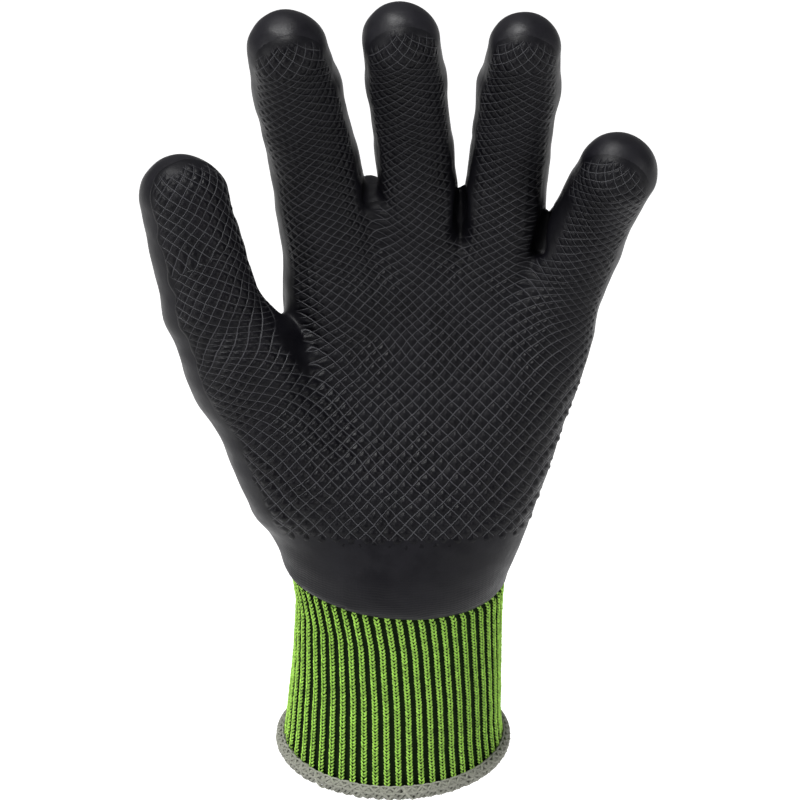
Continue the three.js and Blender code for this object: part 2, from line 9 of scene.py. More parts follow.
import bpy
import numpy as np
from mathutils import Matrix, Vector


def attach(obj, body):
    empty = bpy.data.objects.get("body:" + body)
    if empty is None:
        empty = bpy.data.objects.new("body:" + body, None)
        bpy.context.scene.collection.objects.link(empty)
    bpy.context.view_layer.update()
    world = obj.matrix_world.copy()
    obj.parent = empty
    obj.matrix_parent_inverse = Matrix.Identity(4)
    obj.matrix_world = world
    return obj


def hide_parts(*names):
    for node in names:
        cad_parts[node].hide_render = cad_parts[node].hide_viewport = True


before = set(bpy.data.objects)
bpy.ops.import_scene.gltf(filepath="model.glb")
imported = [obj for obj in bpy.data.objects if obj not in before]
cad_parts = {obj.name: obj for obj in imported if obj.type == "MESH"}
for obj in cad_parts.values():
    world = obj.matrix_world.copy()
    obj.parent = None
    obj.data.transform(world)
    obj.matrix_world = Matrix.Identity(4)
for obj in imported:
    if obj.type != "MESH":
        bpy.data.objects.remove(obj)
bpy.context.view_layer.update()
Array = np.ndarray
Material = bpy.types.Material
Piece = bpy.types.Object
Socket = bpy.types.NodeSocket
Sockets = bpy.types.bpy_prop_collection
Tree = bpy.types.NodeTree
LOG = logging.getLogger("glove")
MM = 0.001
SEED = 11
WHITE = (1.0, 1.0, 1.0, 1.0)
TURN = 2.0 * math.pi
"""One full turn, in radians."""
DOME_EASE = 1.5
"""Millimetres added to a tip's radius, so that the arc over its dome ends softly."""
ROOT_REACH = 12.0
"""How far below its root a bar's pattern runs on, in millimetres."""
LAST_PART = 2
"""Number of the bar that ends in a tip, on a finger and on the thumb."""
OFF_TIP = -20.0
"""Distance past a tip that every place off the tips is given, in millimetres."""


class Node(Enum):
    """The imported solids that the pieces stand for."""

    COAT = "latex_base_coat"
    GRIP = "grip_coat"
    CUFF = "rib_cuff"
    HEM = "hem_overlock"


class Slot(Enum):
    """The record's material slots."""

    LATEX = "latex"
    GRIP_LATEX = "grip_latex"
    GREEN_KNIT = "green_knit"
    GREY_THREAD = "grey_thread"


# Small whole-array helpers


def smoothstep(low: float, high: float, value: Array) -> Array:
    """Rises from 0 at low to 1 at high as 3t squared less 2t cubed, with t the clamped share of the way."""
    t = np.clip((value - low) / (high - low), 0.0, 1.0)
    return t * t * (3.0 - 2.0 * t)


def blend(first: Array, second: Array, length: float) -> Array:
    """Joins two distances by a fillet of that length: the smaller one, less a parabola where they meet."""
    share = np.clip(0.5 + 0.5 * (second - first) / length, 0.0, 1.0)
    return second + (first - second) * share - length * share * (1.0 - share)


def one_long(vectors: Array) -> Array:
    """The vectors of the last axis, each divided by its length."""
    return vectors / np.maximum(np.linalg.norm(vectors, axis=-1, keepdims=True), 1e-6)


def ripple(points: Array, size: float, seed: int) -> Array:
    """Smooth irregularity from -1 to 1.

    Five plane waves of random direction and phase are added and divided by their number's root.

    Args:
        points: N by 3 places in millimetres.
        size: Length of a typical wave.
        seed: Chooses the directions and phases.

    Returns:
        One value for each point.
    """
    rng = np.random.default_rng(seed)
    waves = one_long(rng.normal(size=(5, 3)))
    waves *= rng.uniform(0.7, 1.5, size=(5, 1)) * TURN / size
    phases = rng.uniform(0.0, TURN, 5)
    return np.sin(points @ waves.T + phases).sum(axis=1) / math.sqrt(5.0)


@dataclass(frozen=True)
class Ripple:
    """One use of ripple: its height, its typical wave in millimetres, and its own seed."""

    height: float
    size: float
    seed: int

    def at(self, points: Array) -> Array:
        """The irregularity at each point."""
        return self.height * ripple(points, self.size, SEED + self.seed)


# Hand form


Table = tuple[tuple[float, float, float, float], ...]
"""Balls along a bar: u, v, w and radius of each, in millimetres."""


@dataclass(frozen=True)
class Finger:
    """One finger's sizes in the palm frame, in millimetres and degrees."""

    knuckle: tuple[float, float]
    splay: float
    length: float
    radii: tuple[float, float, float, float]
    curl: tuple[float, float, float]
    root: tuple[float, float, float]


@dataclass(frozen=True)
class Bone:
    """A rounded bar between two balls, with the way its pad faces and where it lies in the grip's pattern."""

    start: Array
    axis: Array
    radius: float
    change: float
    pad: Array
    reach: float
    along: float = 0.0
    root: tuple[float, float] = (0.0, 0.0)
    is_tip: bool = False
    is_thumb: bool = False

    @property
    def length(self) -> float:
        """Distance between the two balls."""
        return float(np.linalg.norm(self.axis))

    @property
    def unit(self) -> Array:
        """Direction from the first ball to the second."""
        return self.axis / self.length

    def radial(self, q: Array) -> tuple[Array, Array]:
        """Each point's offset from the nearest place on the bar, and that place's share of the length."""
        rel = q - self.start
        share = np.clip(rel @ self.axis / (self.axis @ self.axis), 0.0, 1.0)
        return rel - share[:, None] * self.axis, share

    def distance(self, q: Array) -> Array:
        """Length of the offset less the bar's radius there."""
        offset, share = self.radial(q)
        return np.sqrt(np.einsum("ij,ij->i", offset, offset)) - self.radius - self.change * share

    def level_distance(self, q: Array) -> Array:
        """The same, seen straight on to the palm: only u and v count."""
        level = np.array([1.0, 1.0, 0.0])
        rel, way = (q - self.start) * level, self.axis * level
        share = np.clip(rel @ way / (way @ way), 0.0, 1.0)
        return np.linalg.norm(rel - share[:, None] * way, axis=1) - self.radius - self.change * share

    def front(self, q: Array) -> Array:
        """How far each point stands in front of the line where the grip coat ends on this bar."""
        offset, share = self.radial(q)
        return offset @ self.pad - (self.radius + self.change * share) * self.reach

    def pattern(self, q: Array) -> tuple[Array, Array]:
        """Over the surface: the arc round the bar from its pad, and the length up the digit from its root."""
        offset, share = self.radial(q)
        side = np.cross(self.unit, self.pad)
        angle = np.arctan2(offset @ side, offset @ self.pad)
        radius = self.radius + self.change * share
        height = (q - self.start) @ self.unit
        past = height - self.length
        dome = radius * np.arcsin(np.clip(past / (radius + DOME_EASE), 0.0, 1.0))
        climb = np.where(past > 0.0, self.length + dome, np.maximum(height, -ROOT_REACH))
        return radius * angle, self.along + climb


@dataclass
class HandForm:
    """The dipped hand as a distance in the palm frame: u across, v up the palm, w out of it. Millimetres."""

    lean: float = 25.0
    wrist_height: float = 75.0
    wrist_rise: float = 9.0
    wrist_half: tuple[float, float] = (34.3, 26.5)
    wrist_shift: float = 0.6
    wrist_dome: float = 56.7
    wrist_tail: float = 12.0
    palm_blend: float = 10.0
    joint_blend: float = 1.8
    root_blend: float = 6.0
    web_blend: float = 2.5
    thumb_blend: float = 9.0
    wrist_blend: float = 10.0
    wraps: tuple[float, float, float] = (62.0, 84.0, 66.0)
    thumb_turn: float = 24.0
    grip_start: float = 2.4
    grip_hold: float = 4.0
    phalanx_shares: tuple[float, float, float] = (0.5, 0.3, 0.2)
    # Index, middle, ring and little finger
    fingers: tuple[Finger, ...] = (
        Finger(
            (-15.57, 77.68), -11.6, 85.68,
            (16.5, 13.63, 13.0, 11.88), (14, 34, 50), (-16.47, 6.97, 16.9),
        ),
        Finger(
            (11.61, 81.49), -7.2, 83.5,
            (13.13, 11.9, 11.8, 11.4), (14, 34, 50), (-4.77, 5.99, 17.8),
        ),
        Finger(
            (30.87, 78.17), 6.0, 84.59,
            (14.4, 12.2, 12.2, 10.6), (14, 34, 50), (8.01, 5.99, 18.0),
        ),
        Finger(
            (45.0, 66.91), 24.1, 61.4,
            (14.9, 12.8, 11.6, 11.8), (16, 34, 48), (20.07, 6.97, 17.9),
        ),
    )
    thumb: Table = (
        (-27.06, 20.73, 8.01, 19.0),
        (-45.34, 56.6, 15.0, 15.4),
        (-54.67, 75.29, 21.0, 14.3),
        (-62.2, 107.4, 26.0, 13.1),
    )
    heel: Table = ((23.58, 11.99, 2.99, 17.3), (40.23, 52.49, 2.02, 14.1))
    web: Table = ((-2.97, 81.97, 2.02, 9.0), (-7.2, 95.99, 0.0, 5.5), (-7.29, 111.13, -0.5, 3.4))
    valleys: tuple[Table, ...] = (
        ((-7.7, 107.5, 14.0, 1.6), (-7.7, 112.0, 9.0, 1.6)),
        ((20.4, 98.0, 13.5, 2.8), (20.7, 107.5, 11.0, 2.2)),
        ((45.2, 92.5, 13.0, 2.8), (47.6, 101.5, 11.0, 2.2)),
    )
    bare_bars: tuple[Table, ...] = (
        ((-26.8, 56.0, 0.0, 0.2), (-30.6, 66.0, 0.0, 1.8)),
        ((-31.4, 66.0, 0.0, 2.8), (-36.2, 95.5, 0.0, 3.6), (-41.6, 122.0, 0.0, 3.0)),
        ((-7.7, 106.0, 0.0, 2.2), (-7.7, 122.0, 0.0, 3.4)),
        ((20.6, 98.5, 0.0, 2.6), (21.4, 122.0, 0.0, 3.4)),
        ((45.2, 92.0, 0.0, 2.6), (49.0, 106.0, 0.0, 3.4)),
    )
    valley_blend: float = 3.0
    slits: tuple[Table, ...] = (((21.0, 110.8, 0.0, 0.9), (21.7, 125.5, 0.0, 1.9)),)
    slit_blend: float = 1.5
    web_fill: float = 9.0
    web_floor: tuple[tuple[float, ...], tuple[float, ...]] = ((104.5, 111.5, 119.0), (16.0, 5.0, -4.0))
    finger_bones: list[list[Bone]] = field(init=False)
    palm_bones: list[Bone] = field(init=False)
    thumb_bones: list[Bone] = field(init=False)
    web_bones: list[Bone] = field(init=False)
    valley_bones: list[Bone] = field(init=False)
    slit_bones: list[Bone] = field(init=False)
    bare_bones: list[Bone] = field(init=False)

    def __post_init__(self) -> None:
        """Works out the palm frame's directions and every bone."""
        lean = math.radians(self.lean)
        self.across = np.array([1.0, 0.0, 0.0])
        self.up = np.array([0.0, math.sin(lean), math.cos(lean)])
        self.out = np.array([0.0, -math.cos(lean), math.sin(lean)])
        self.wrist = np.array([0.0, 0.0, self.wrist_height])
        self.finger_bones = [self._finger(row) for row in self.fingers]
        roots = [self._metacarpal(row) for row in self.fingers]
        heel = self._chain(self.heel, self.wraps[1], 0.0)
        thumb = self._chain(self.thumb, self.wraps[2], self.thumb_turn)
        self.palm_bones = roots + heel + thumb[:1]
        self.thumb_bones = thumb[1:]
        self.web_bones = self._chains((self.web,))
        self.valley_bones = self._chains(self.valleys)
        self.slit_bones = self._chains(self.slits)
        self.bare_bones = self._chains(self.bare_bars)

    def _bone(
        self, a: Array, b: Array, ra: float, rb: float, wrap: float, turn: float = 0.0,
        **place: object,
    ) -> Bone:
        """A bone whose pad is the palm's outward direction, made square to the bone and turned about it.

        Args:
            a: First ball's centre.
            b: Second ball's centre.
            ra: First ball's radius.
            rb: Second ball's radius.
            wrap: Degrees from the pad to the grip coat's border.
            turn: Degrees that the pad turns toward the fingers.
            place: Its place in the grip's pattern.

        Returns:
            The bone.
        """
        axis = b - a
        unit = one_long(axis)
        pad = one_long(np.array([0.0, 0.0, 1.0]) - unit[2] * unit)
        angle = math.radians(turn)
        pad = pad * math.cos(angle) + np.cross(unit, pad) * math.sin(angle)
        return Bone(a, axis, ra, rb - ra, pad, math.cos(math.radians(wrap)), **place)

    def _finger(self, row: Finger) -> list[Bone]:
        """Three phalanges, each a share of the finger's length, turned by its splay and curl."""
        splay = math.radians(row.splay)
        a = np.array([*row.knuckle, 0.0])
        bones, along = [], 0.0
        for i, share in enumerate(self.phalanx_shares):
            curl, length = math.radians(row.curl[i]), share * row.length
            flat = math.cos(curl)
            step = np.array([math.sin(splay) * flat, math.cos(splay) * flat, math.sin(curl)])
            b = a + step * length
            bone = self._bone(a, b, row.radii[i], row.radii[i + 1], self.wraps[0], along=along,
                              root=row.knuckle, is_tip=i == LAST_PART)
            bones.append(bone)
            a, along = b, along + length
        return bones

    def _metacarpal(self, row: Finger) -> Bone:
        """The bar from the heel of the hand to a finger's knuckle, 1 mm wider there than the finger."""
        u, v, radius = row.root
        return self._bone(
            np.array([u, v, 0.0]), np.array([*row.knuckle, 0.0]), radius, row.radii[0] + 1.0, self.wraps[1]
        )

    def _chain(self, rows: Table, wrap: float, turn: float) -> list[Bone]:
        """Bars through a table of centres and radii, end to end."""
        points = [np.array(row[:3]) for row in rows]
        along, bones = 0.0, []
        for i in range(len(rows) - 1):
            bone = self._bone(points[i], points[i + 1], rows[i][3], rows[i + 1][3], wrap, turn,
                              along=along, root=rows[0][:2], is_tip=i == LAST_PART, is_thumb=True)
            bones.append(bone)
            along += bone.length
        return bones

    def _chains(self, tables: tuple[Table, ...]) -> list[Bone]:
        """Every bar of several tables."""
        return [bone for rows in tables for bone in self._chain(rows, self.wraps[0], 0.0)]

    def to_world(self, q: Array) -> Array:
        """Palm frame to the row frame: the wrist's place plus u, v and w along their directions."""
        return self.wrist + q @ np.stack([self.across, self.up, self.out])

    def wrist_distance(self, q: Array) -> Array:
        """An upright elliptical tube that above the dip line leans over and closes as half an ellipsoid."""
        a, b = self.wrist_half
        z = q[:, 1] * self.up[2] + q[:, 2] * self.out[2] + self.wrist_rise
        rise = np.maximum(z, 0.0)
        leaned = math.tan(math.radians(self.lean)) * rise**2 / (rise + 2.0 * self.wrist_rise)
        x = q[:, 0] - self.wrist_shift
        y = q[:, 1] * self.up[1] + q[:, 2] * self.out[1] - leaned
        dome = self.wrist_dome
        ratio = np.sqrt((x / a) ** 2 + (y / b) ** 2 + (rise / dome) ** 2)
        slope = np.sqrt((x / a**2) ** 2 + (y / b**2) ** 2 + (rise / dome**2) ** 2) + 1e-9
        return np.maximum(ratio * (ratio - 1.0) / slope, -z - self.wrist_tail)

    def _joined(self, bones: list[Bone], q: Array, length: float) -> Array:
        """The bones' distances run together one after another."""
        total = bones[0].distance(q)
        for bone in bones[1:]:
            total = blend(total, bone.distance(q), length)
        return total

    def distance(self, q: Array) -> Array:
        """Distance from the outer face of the coat, negative inside.

        Palm and wrist come first, then the fingers with their web, then the thumb. The valleys between the
        digits' roots are then scooped out: the rounded larger one of that distance and minus each valley's.
        """
        palm = self._joined(self.palm_bones, q, self.palm_blend)
        palm = blend(palm, self.wrist_distance(q), self.wrist_blend)
        row = self._joined(self.finger_bones[0], q, self.joint_blend)
        under = smoothstep(3.0, -3.0, q[:, 2] - np.interp(q[:, 1], *self.web_floor))
        under *= smoothstep(self.web_floor[0][2] + 2.0, self.web_floor[0][2] - 3.0, q[:, 1])
        for number, bones in enumerate(self.finger_bones[1:]):
            length = self.web_blend + (self.web_fill * under if number == 0 else 0.0)
            row = blend(row, self._joined(bones, q, self.joint_blend), length)
        row = blend(row, self._joined(self.web_bones, q, self.web_blend), self.web_blend)
        hand = blend(palm, row, self.root_blend)
        hand = blend(hand, self._joined(self.thumb_bones, q, self.joint_blend), self.thumb_blend)
        for bone in self.valley_bones:
            hand = -blend(-hand, bone.distance(q), self.valley_blend)
        for bone in self.slit_bones:
            hand = -blend(-hand, bone.level_distance(q), self.slit_blend)
        return hand

    def from_bare(self, q: Array) -> Array:
        """Distance from the nearest bar that the net leaves bare, seen straight on to the palm."""
        return np.min([bone.level_distance(q) for bone in self.bare_bones], axis=0)

    def slope(self, q: Array) -> Array:
        """Rate of change of the distance along each axis, from points 0.05 mm to either side."""
        step = 0.05
        sides = [self.distance(q + step * axis) - self.distance(q - step * axis) for axis in np.eye(3)]
        return np.stack(sides, axis=1) / (2.0 * step)

    def normal(self, q: Array) -> Array:
        """The slope made one long."""
        return one_long(self.slope(q))

    def settle(self, q: Array, reach: float, rounds: int = 3) -> Array:
        """Slides points onto the zero distance by Newton's steps, at most reach from where they started."""
        start = q.copy()
        for _ in range(rounds):
            slope = self.slope(q)
            square = np.maximum((slope**2).sum(axis=1), 0.2)
            q = q - (self.distance(q) / square)[:, None] * slope
            moved = q - start
            far = np.maximum(np.linalg.norm(moved, axis=1) / reach, 1.0)
            q = start + moved / far[:, None]
        return q

    def grip_field(self, q: Array, pattern: "NetPattern") -> dict[str, Array]:
        """Where each surface point lies on the grip coat.

        Every bone's answer is weighed by the exponential of minus its distance over the hold length.

        Args:
            q: N by 3 points in the palm frame, on the coat.
            pattern: The net's cell sizes.

        Returns:
            front: distance inside the border. column and row: the place in the net, in cells. beyond:
            distance past the middle of the tip. digit and thumb: 1 on them and 0 off them.
        """
        weight = np.zeros(len(q))
        total = {key: np.zeros(len(q)) for key in ("front", "column", "row", "beyond", "digit", "thumb")}
        digits = [bone for bones in self.finger_bones for bone in bones] + self.thumb_bones
        for number, bone in enumerate(self.palm_bones + digits):
            own = np.exp(-np.clip(bone.distance(q), -20.0, 60.0) / self.grip_hold)
            weight += own
            total["front"] += own * bone.front(q)
            if number >= len(self.palm_bones):
                column, row = pattern.on_digit(bone, q)
                total["digit"] += own
                total["thumb"] += own * bone.is_thumb
                past = (q - bone.start) @ bone.unit - bone.length
                total["beyond"] += own * (past if bone.is_tip else OFF_TIP)
            else:
                column, row = pattern.on_palm(q[:, 0], q[:, 1])
                total["beyond"] += own * OFF_TIP
            total["column"] += own * column
            total["row"] += own * row
        return {key: value / weight for key, value in total.items()}


@dataclass(frozen=True)
class NetPattern:
    """Cell sizes of the moulded net, in millimetres across the corners of a cell."""

    heel_cell: float = 4.6
    knuckle_cell: float = 3.7
    heel_height: float = 12.0
    knuckle_height: float = 74.0
    digit_cell: tuple[float, float] = (3.9, 3.1)
    thumb_cell: tuple[float, float] = (3.9, 3.7)
    middle: float = 6.0

    def on_palm(self, u: Array, v: Array) -> tuple[Array, Array]:
        """Column and row on the palm: the width over the cell at that height, and the running sum of rows."""
        height = np.linspace(-30.0, 130.0, 321)
        cell = np.interp(height, [self.heel_height, self.knuckle_height], [self.heel_cell, self.knuckle_cell])
        rows = np.concatenate([[0.0], np.cumsum(np.diff(height) / cell[1:])])
        return (u - self.middle) / np.interp(v, height, cell), np.interp(v, height, rows)

    def on_digit(self, bone: Bone, q: Array) -> tuple[Array, Array]:
        """Column and row on a digit: its root's on the palm, plus the arc and the length over the cell."""
        across, along = self.thumb_cell if bone.is_thumb else self.digit_cell
        column, row = self.on_palm(np.array(bone.root[0]), np.array(bone.root[1]))
        arc, length = bone.pattern(q)
        return column + arc / across, row + length / along


# Meshes


@dataclass
class Net:
    """A net of four-sided faces: vertices in the palm frame, faces as rows of vertex numbers."""

    vertices: Array
    faces: Array

    @classmethod
    def over(cls, form: HandForm, cell: float) -> "Net":
        """A net over the zero of the form's distance.

        The distance is sampled on a grid. Each cell that its zero passes through holds one vertex, at the
        mean of the crossings on the cell's edges, and each grid edge that it crosses joins the four cells
        round it.

        Args:
            form: The hand.
            cell: Side of a grid cell.

        Returns:
            The net.
        """
        low, high = np.array([-82.0, -46.0, -40.0]), np.array([86.0, 176.0, 62.0])
        counts = np.ceil((high - low) / cell).astype(int) + 1
        axes = [low[i] + cell * np.arange(counts[i]) for i in range(3)]
        places = np.stack(np.meshgrid(*axes, indexing="ij"), axis=-1)
        values = form.distance(places.reshape(-1, 3)).reshape(counts)
        corners = [np.array([n & 1, (n >> 1) & 1, (n >> 2) & 1]) for n in range(8)]
        top = counts - 1
        boxes = [tuple(slice(c[i], top[i] + c[i]) for i in range(3)) for c in corners]
        inside = sum((values[box] < 0).astype(int) for box in boxes)
        active = (inside > 0) & (inside < 8)
        index = np.stack(np.nonzero(active), axis=1)
        spots = np.stack([values[box][active] for box in boxes], axis=1)
        mean = np.zeros((len(index), 3))
        crossings = np.zeros(len(index))
        for a in range(8):
            for bit in (1, 2, 4):
                b = a | bit
                if b == a:
                    continue
                crossed = (spots[:, a] < 0) != (spots[:, b] < 0)
                gap = np.where(crossed, spots[:, a] - spots[:, b], 1.0)
                share = spots[:, a] / gap
                spot = corners[a] + share[:, None] * (corners[b] - corners[a])
                mean += np.where(crossed[:, None], spot, 0.0)
                crossings += crossed
        vertices = low + cell * (index + mean / crossings[:, None])
        numbers = np.full(top, -1)
        numbers[active] = np.arange(len(index))
        quads = []
        for axis in range(3):
            p, q = (axis + 1) % 3, (axis + 2) % 3
            here = np.take(values, range(counts[axis] - 1), axis=axis) < 0
            there = np.take(values, range(1, counts[axis]), axis=axis) < 0
            edge = np.stack(np.nonzero(here != there), axis=1)
            low_p, low_q = edge[:, p] > 0, edge[:, q] > 0
            edge = edge[low_p & low_q & (edge[:, p] < top[p]) & (edge[:, q] < top[q])]
            leaving = here[tuple(edge.T)]
            step_p, step_q = np.eye(3, dtype=int)[p], np.eye(3, dtype=int)[q]
            ring = [edge, edge - step_p, edge - step_p - step_q, edge - step_q]
            quad = np.stack([numbers[tuple(r.T)] for r in ring], axis=1)
            quads.append(np.where(leaving[:, None], quad, quad[:, ::-1]))
        return cls(form.settle(vertices, cell / 2.0), np.concatenate(quads))

    def finer(self) -> "Net":
        """Each face becomes four, round its middle and the middles of its edges."""
        faces, count = self.faces, len(self.vertices)
        pairs = np.stack([faces, np.roll(faces, -1, axis=1)], axis=2).reshape(-1, 2)
        edges, edge_of = np.unique(np.sort(pairs, axis=1), axis=0, return_inverse=True)
        edge_of = edge_of.reshape(faces.shape) + count
        middles = self.vertices[edges].mean(axis=1)
        centres = self.vertices[faces].mean(axis=1)
        centre_of = np.arange(len(faces)) + count + len(edges)
        quads = [
            np.stack([faces[:, i], edge_of[:, i], centre_of, edge_of[:, i - 1]], axis=1) for i in range(4)
        ]
        return Net(np.concatenate([self.vertices, middles, centres]), np.concatenate(quads))

    def kept(self, wanted: Array) -> "Net":
        """Only the faces whose flag is set, and the vertices that they use."""
        faces = self.faces[wanted]
        used, renumbered = np.unique(faces, return_inverse=True)
        return Net(self.vertices[used], renumbered.reshape(faces.shape))

    def border(self) -> Array:
        """The edges that only one face uses, each in its face's own direction."""
        pairs = np.stack([self.faces, np.roll(self.faces, -1, axis=1)], axis=2).reshape(-1, 2)
        _, first, count = np.unique(np.sort(pairs, axis=1), axis=0, return_index=True, return_counts=True)
        return pairs[first[count == 1]]


def grid_faces(rows: int, columns: int, closed: bool = True) -> Array:
    """Four-sided faces between neighbours on a grid of vertices.

    Args:
        rows: Number of rows of vertices.
        columns: Vertices in a row; the last one joins the first.
        closed: Whether the last row joins the first.

    Returns:
        Rows of four vertex numbers.
    """
    a, b = np.meshgrid(np.arange(rows if closed else rows - 1), np.arange(columns), indexing="ij")
    c, d = (a + 1) % rows, (b + 1) % columns
    corners = [a * columns + b, a * columns + d, c * columns + d, c * columns + b]
    return np.stack(corners, axis=-1).reshape(-1, 4)


def tube_points(spine: Array, outward: Array, sideways: Array, radius: object, sides: int) -> Array:
    """Points round every place of a spine, at equal turns from outward to sideways, on a new axis."""
    turn = (np.arange(sides) / sides * TURN)[:, None]
    way = np.cos(turn) * outward[..., None, :] + np.sin(turn) * sideways[..., None, :]
    return spine[..., None, :] + radius * way


def tube_uv(along: Array, sides: int) -> Array:
    """UV pairs of a tube's rings: the share of the way round, and each ring's way along."""
    pairs = np.broadcast_arrays((np.arange(sides) / sides)[None, :], along[:, None])
    return np.stack(pairs, axis=-1).reshape(-1, 2)


def link_object(name: str, data: bpy.types.ID) -> Piece:
    """A new object that carries the data, linked to the scene."""
    item = bpy.data.objects.new(name, data)
    bpy.context.collection.objects.link(item)
    return item


def add_mesh(
    name: str, points: Array, faces: Array, uv: Array | None = None, **values: Array
) -> Piece:
    """Makes a smooth-shaded mesh object at the origin.

    Args:
        name: The piece's name.
        points: N by 3 places in millimetres, in the row frame.
        faces: Rows of vertex numbers, all three or all four long.
        uv: A UV pair for each vertex, if the piece has a UV map.
        values: Numbers for each vertex, under the names that the material reads.

    Returns:
        The new object, linked to the scene.
    """
    mesh = bpy.data.meshes.new(name)
    mesh.from_pydata((points * MM).astype(float), [], faces.astype(int))
    mesh.polygons.foreach_set("use_smooth", np.ones(len(mesh.polygons), dtype=bool))
    mesh.update()
    if uv is not None:
        loops = np.empty(len(mesh.loops), dtype=np.int32)
        mesh.loops.foreach_get("vertex_index", loops)
        mesh.uv_layers.new(name="pattern").data.foreach_set("uv", uv[loops].astype(np.float32).ravel())
    for key, numbers in values.items():
        layer = mesh.attributes.new(key, "FLOAT", "POINT")
        layer.data.foreach_set("value", numbers.astype(np.float32))
    return link_object(name, mesh)


def dress(piece: Piece, material: Material, slot: Slot, *nodes: Node) -> None:
    """Gives a piece its material and its body, hides the imported solids that it stands for, and reports its
    triangle count.
    """
    piece.data.materials.append(material)
    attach(piece, "root")
    if nodes:
        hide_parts(*[node.value for node in nodes])
    triangles = sum(len(p.vertices) - 2 for p in piece.data.polygons)
    LOG.info("%s: %d triangles", piece.name, triangles)


# Shader sheets


@dataclass
class Sheet:
    """A node tree with short ways to add and join nodes."""

    tree: Tree

    def node(self, kind: str, **settings: object) -> bpy.types.Node:
        """Adds a node and sets its plain settings."""
        node = self.tree.nodes.new(kind)
        for key, value in settings.items():
            setattr(node, key, value)
        return node

    def put(self, source: object, target: Socket) -> None:
        """Links a socket to the target, or sets the target's own value."""
        if isinstance(source, Socket):
            self.tree.links.new(source, target)
        else:
            target.default_value = source

    def math(self, operation: str, *values: object, clamp: bool = False) -> Socket:
        """One Math node."""
        node = self.node("ShaderNodeMath", operation=operation, use_clamp=clamp)
        for i, value in enumerate(values):
            self.put(value, node.inputs[i])
        return node.outputs[0]

    def times(self, a: object, b: object) -> Socket:
        """The product of two values."""
        return self.math("MULTIPLY", a, b)

    def plus(self, a: object, b: object) -> Socket:
        """The sum of two values."""
        return self.math("ADD", a, b)

    def span(self, value: object, low: float, high: float, a: object = 0.0, b: object = 1.0) -> Socket:
        """Maps a value smoothly from low..high to a..b, held at both ends."""
        node = self.node("ShaderNodeMapRange", interpolation_type="SMOOTHSTEP")
        for i, item in enumerate((value, low, high, a, b)):
            self.put(item, node.inputs[i])
        return node.outputs[0]

    def noise(self, vector: object, scale: object, detail: float = 3.0, rough: float = 0.5) -> Socket:
        """One Noise Texture's value."""
        node = self.node("ShaderNodeTexNoise")
        self.put(vector, node.inputs["Vector"])
        self.put(scale, node.inputs["Scale"])
        self.put(detail, node.inputs["Detail"])
        self.put(rough, node.inputs["Roughness"])
        return node.outputs[0]

    def mix(self, share: object, a: object, b: object) -> Socket:
        """Mixes two colours."""
        node = self.node("ShaderNodeMix", data_type="RGBA")
        self.put(share, node.inputs["Factor"])
        self.put(a, node.inputs[6])
        self.put(b, node.inputs[7])
        return node.outputs[2]

    def stored(self, name: str) -> Socket:
        """The number that each vertex stores under that name."""
        return self.node("ShaderNodeAttribute", attribute_name=name).outputs["Fac"]

    def split(self, vector: Socket) -> Sockets:
        """The three parts of a vector."""
        node = self.node("ShaderNodeSeparateXYZ")
        self.put(vector, node.inputs[0])
        return node.outputs

    def group(self, tree: Tree, **values: object) -> Sockets:
        """Places a node group, gives its inputs and returns its outputs."""
        node = self.node("ShaderNodeGroup", node_tree=tree)
        for key, value in values.items():
            self.put(value, node.inputs[key])
        return node.outputs

    def bump(self, height: object) -> Socket:
        """One Bump node at full strength, whose height is in millimetres."""
        node = self.node("ShaderNodeBump")
        self.put(1.0, node.inputs["Strength"])
        self.put(MM, node.inputs["Distance"])
        self.put(height, node.inputs["Height"])
        return node.outputs[0]


def new_material(name: str) -> tuple[Material, Sheet, Sockets, Socket]:
    """A new material, its sheet, its shader's inputs and its Object coordinates."""
    material = bpy.data.materials.new(name)
    material.use_nodes = True
    sheet = Sheet(material.node_tree)
    shader = material.node_tree.nodes["Principled BSDF"]
    return material, sheet, shader.inputs, sheet.node("ShaderNodeTexCoord").outputs["Object"]


def new_group(
    name: str, vectors: tuple[str, ...], numbers: dict[str, float], outputs: tuple[str, ...]
) -> tuple[Sheet, Sockets, Sockets]:
    """Starts a node group.

    Args:
        name: The effect's name.
        vectors: Names of its vector inputs.
        numbers: Names of its number inputs, with their defaults.
        outputs: Names of its outputs, all numbers.

    Returns:
        The group's sheet, its input sockets by name, and its output sockets by name.
    """
    tree = bpy.data.node_groups.new(name, "ShaderNodeTree")
    for key in vectors:
        tree.interface.new_socket(key, in_out="INPUT", socket_type="NodeSocketVector")
    for key, default in numbers.items():
        socket = tree.interface.new_socket(key, in_out="INPUT", socket_type="NodeSocketFloat")
        socket.default_value = default
    for key in outputs:
        tree.interface.new_socket(key, in_out="OUTPUT", socket_type="NodeSocketFloat")
    sheet = Sheet(tree)
    entry, leave = sheet.node("NodeGroupInput"), sheet.node("NodeGroupOutput")
    return sheet, entry.outputs, leave.inputs


def latex_grain_group() -> Tree:
    """Fine pores and slow waviness of dipped latex: Height in millimetres, and Tone from 0 to 1.

    The noise scales here and below are per metre.
    """
    sheet, given, out = new_group("latex_grain", ("Place",), {"Depth": 0.02}, ("Height", "Tone"))
    fine = sheet.noise(given["Place"], 2600.0, 2.0, 0.6)
    slow = sheet.noise(given["Place"], 260.0, 2.0)
    sheet.put(sheet.plus(sheet.times(fine, given["Depth"]), sheet.times(slow, 0.12)), out["Height"])
    sheet.put(sheet.span(sheet.noise(given["Place"], 90.0, 4.0, 0.65), 0.3, 0.7), out["Tone"])
    return sheet.tree


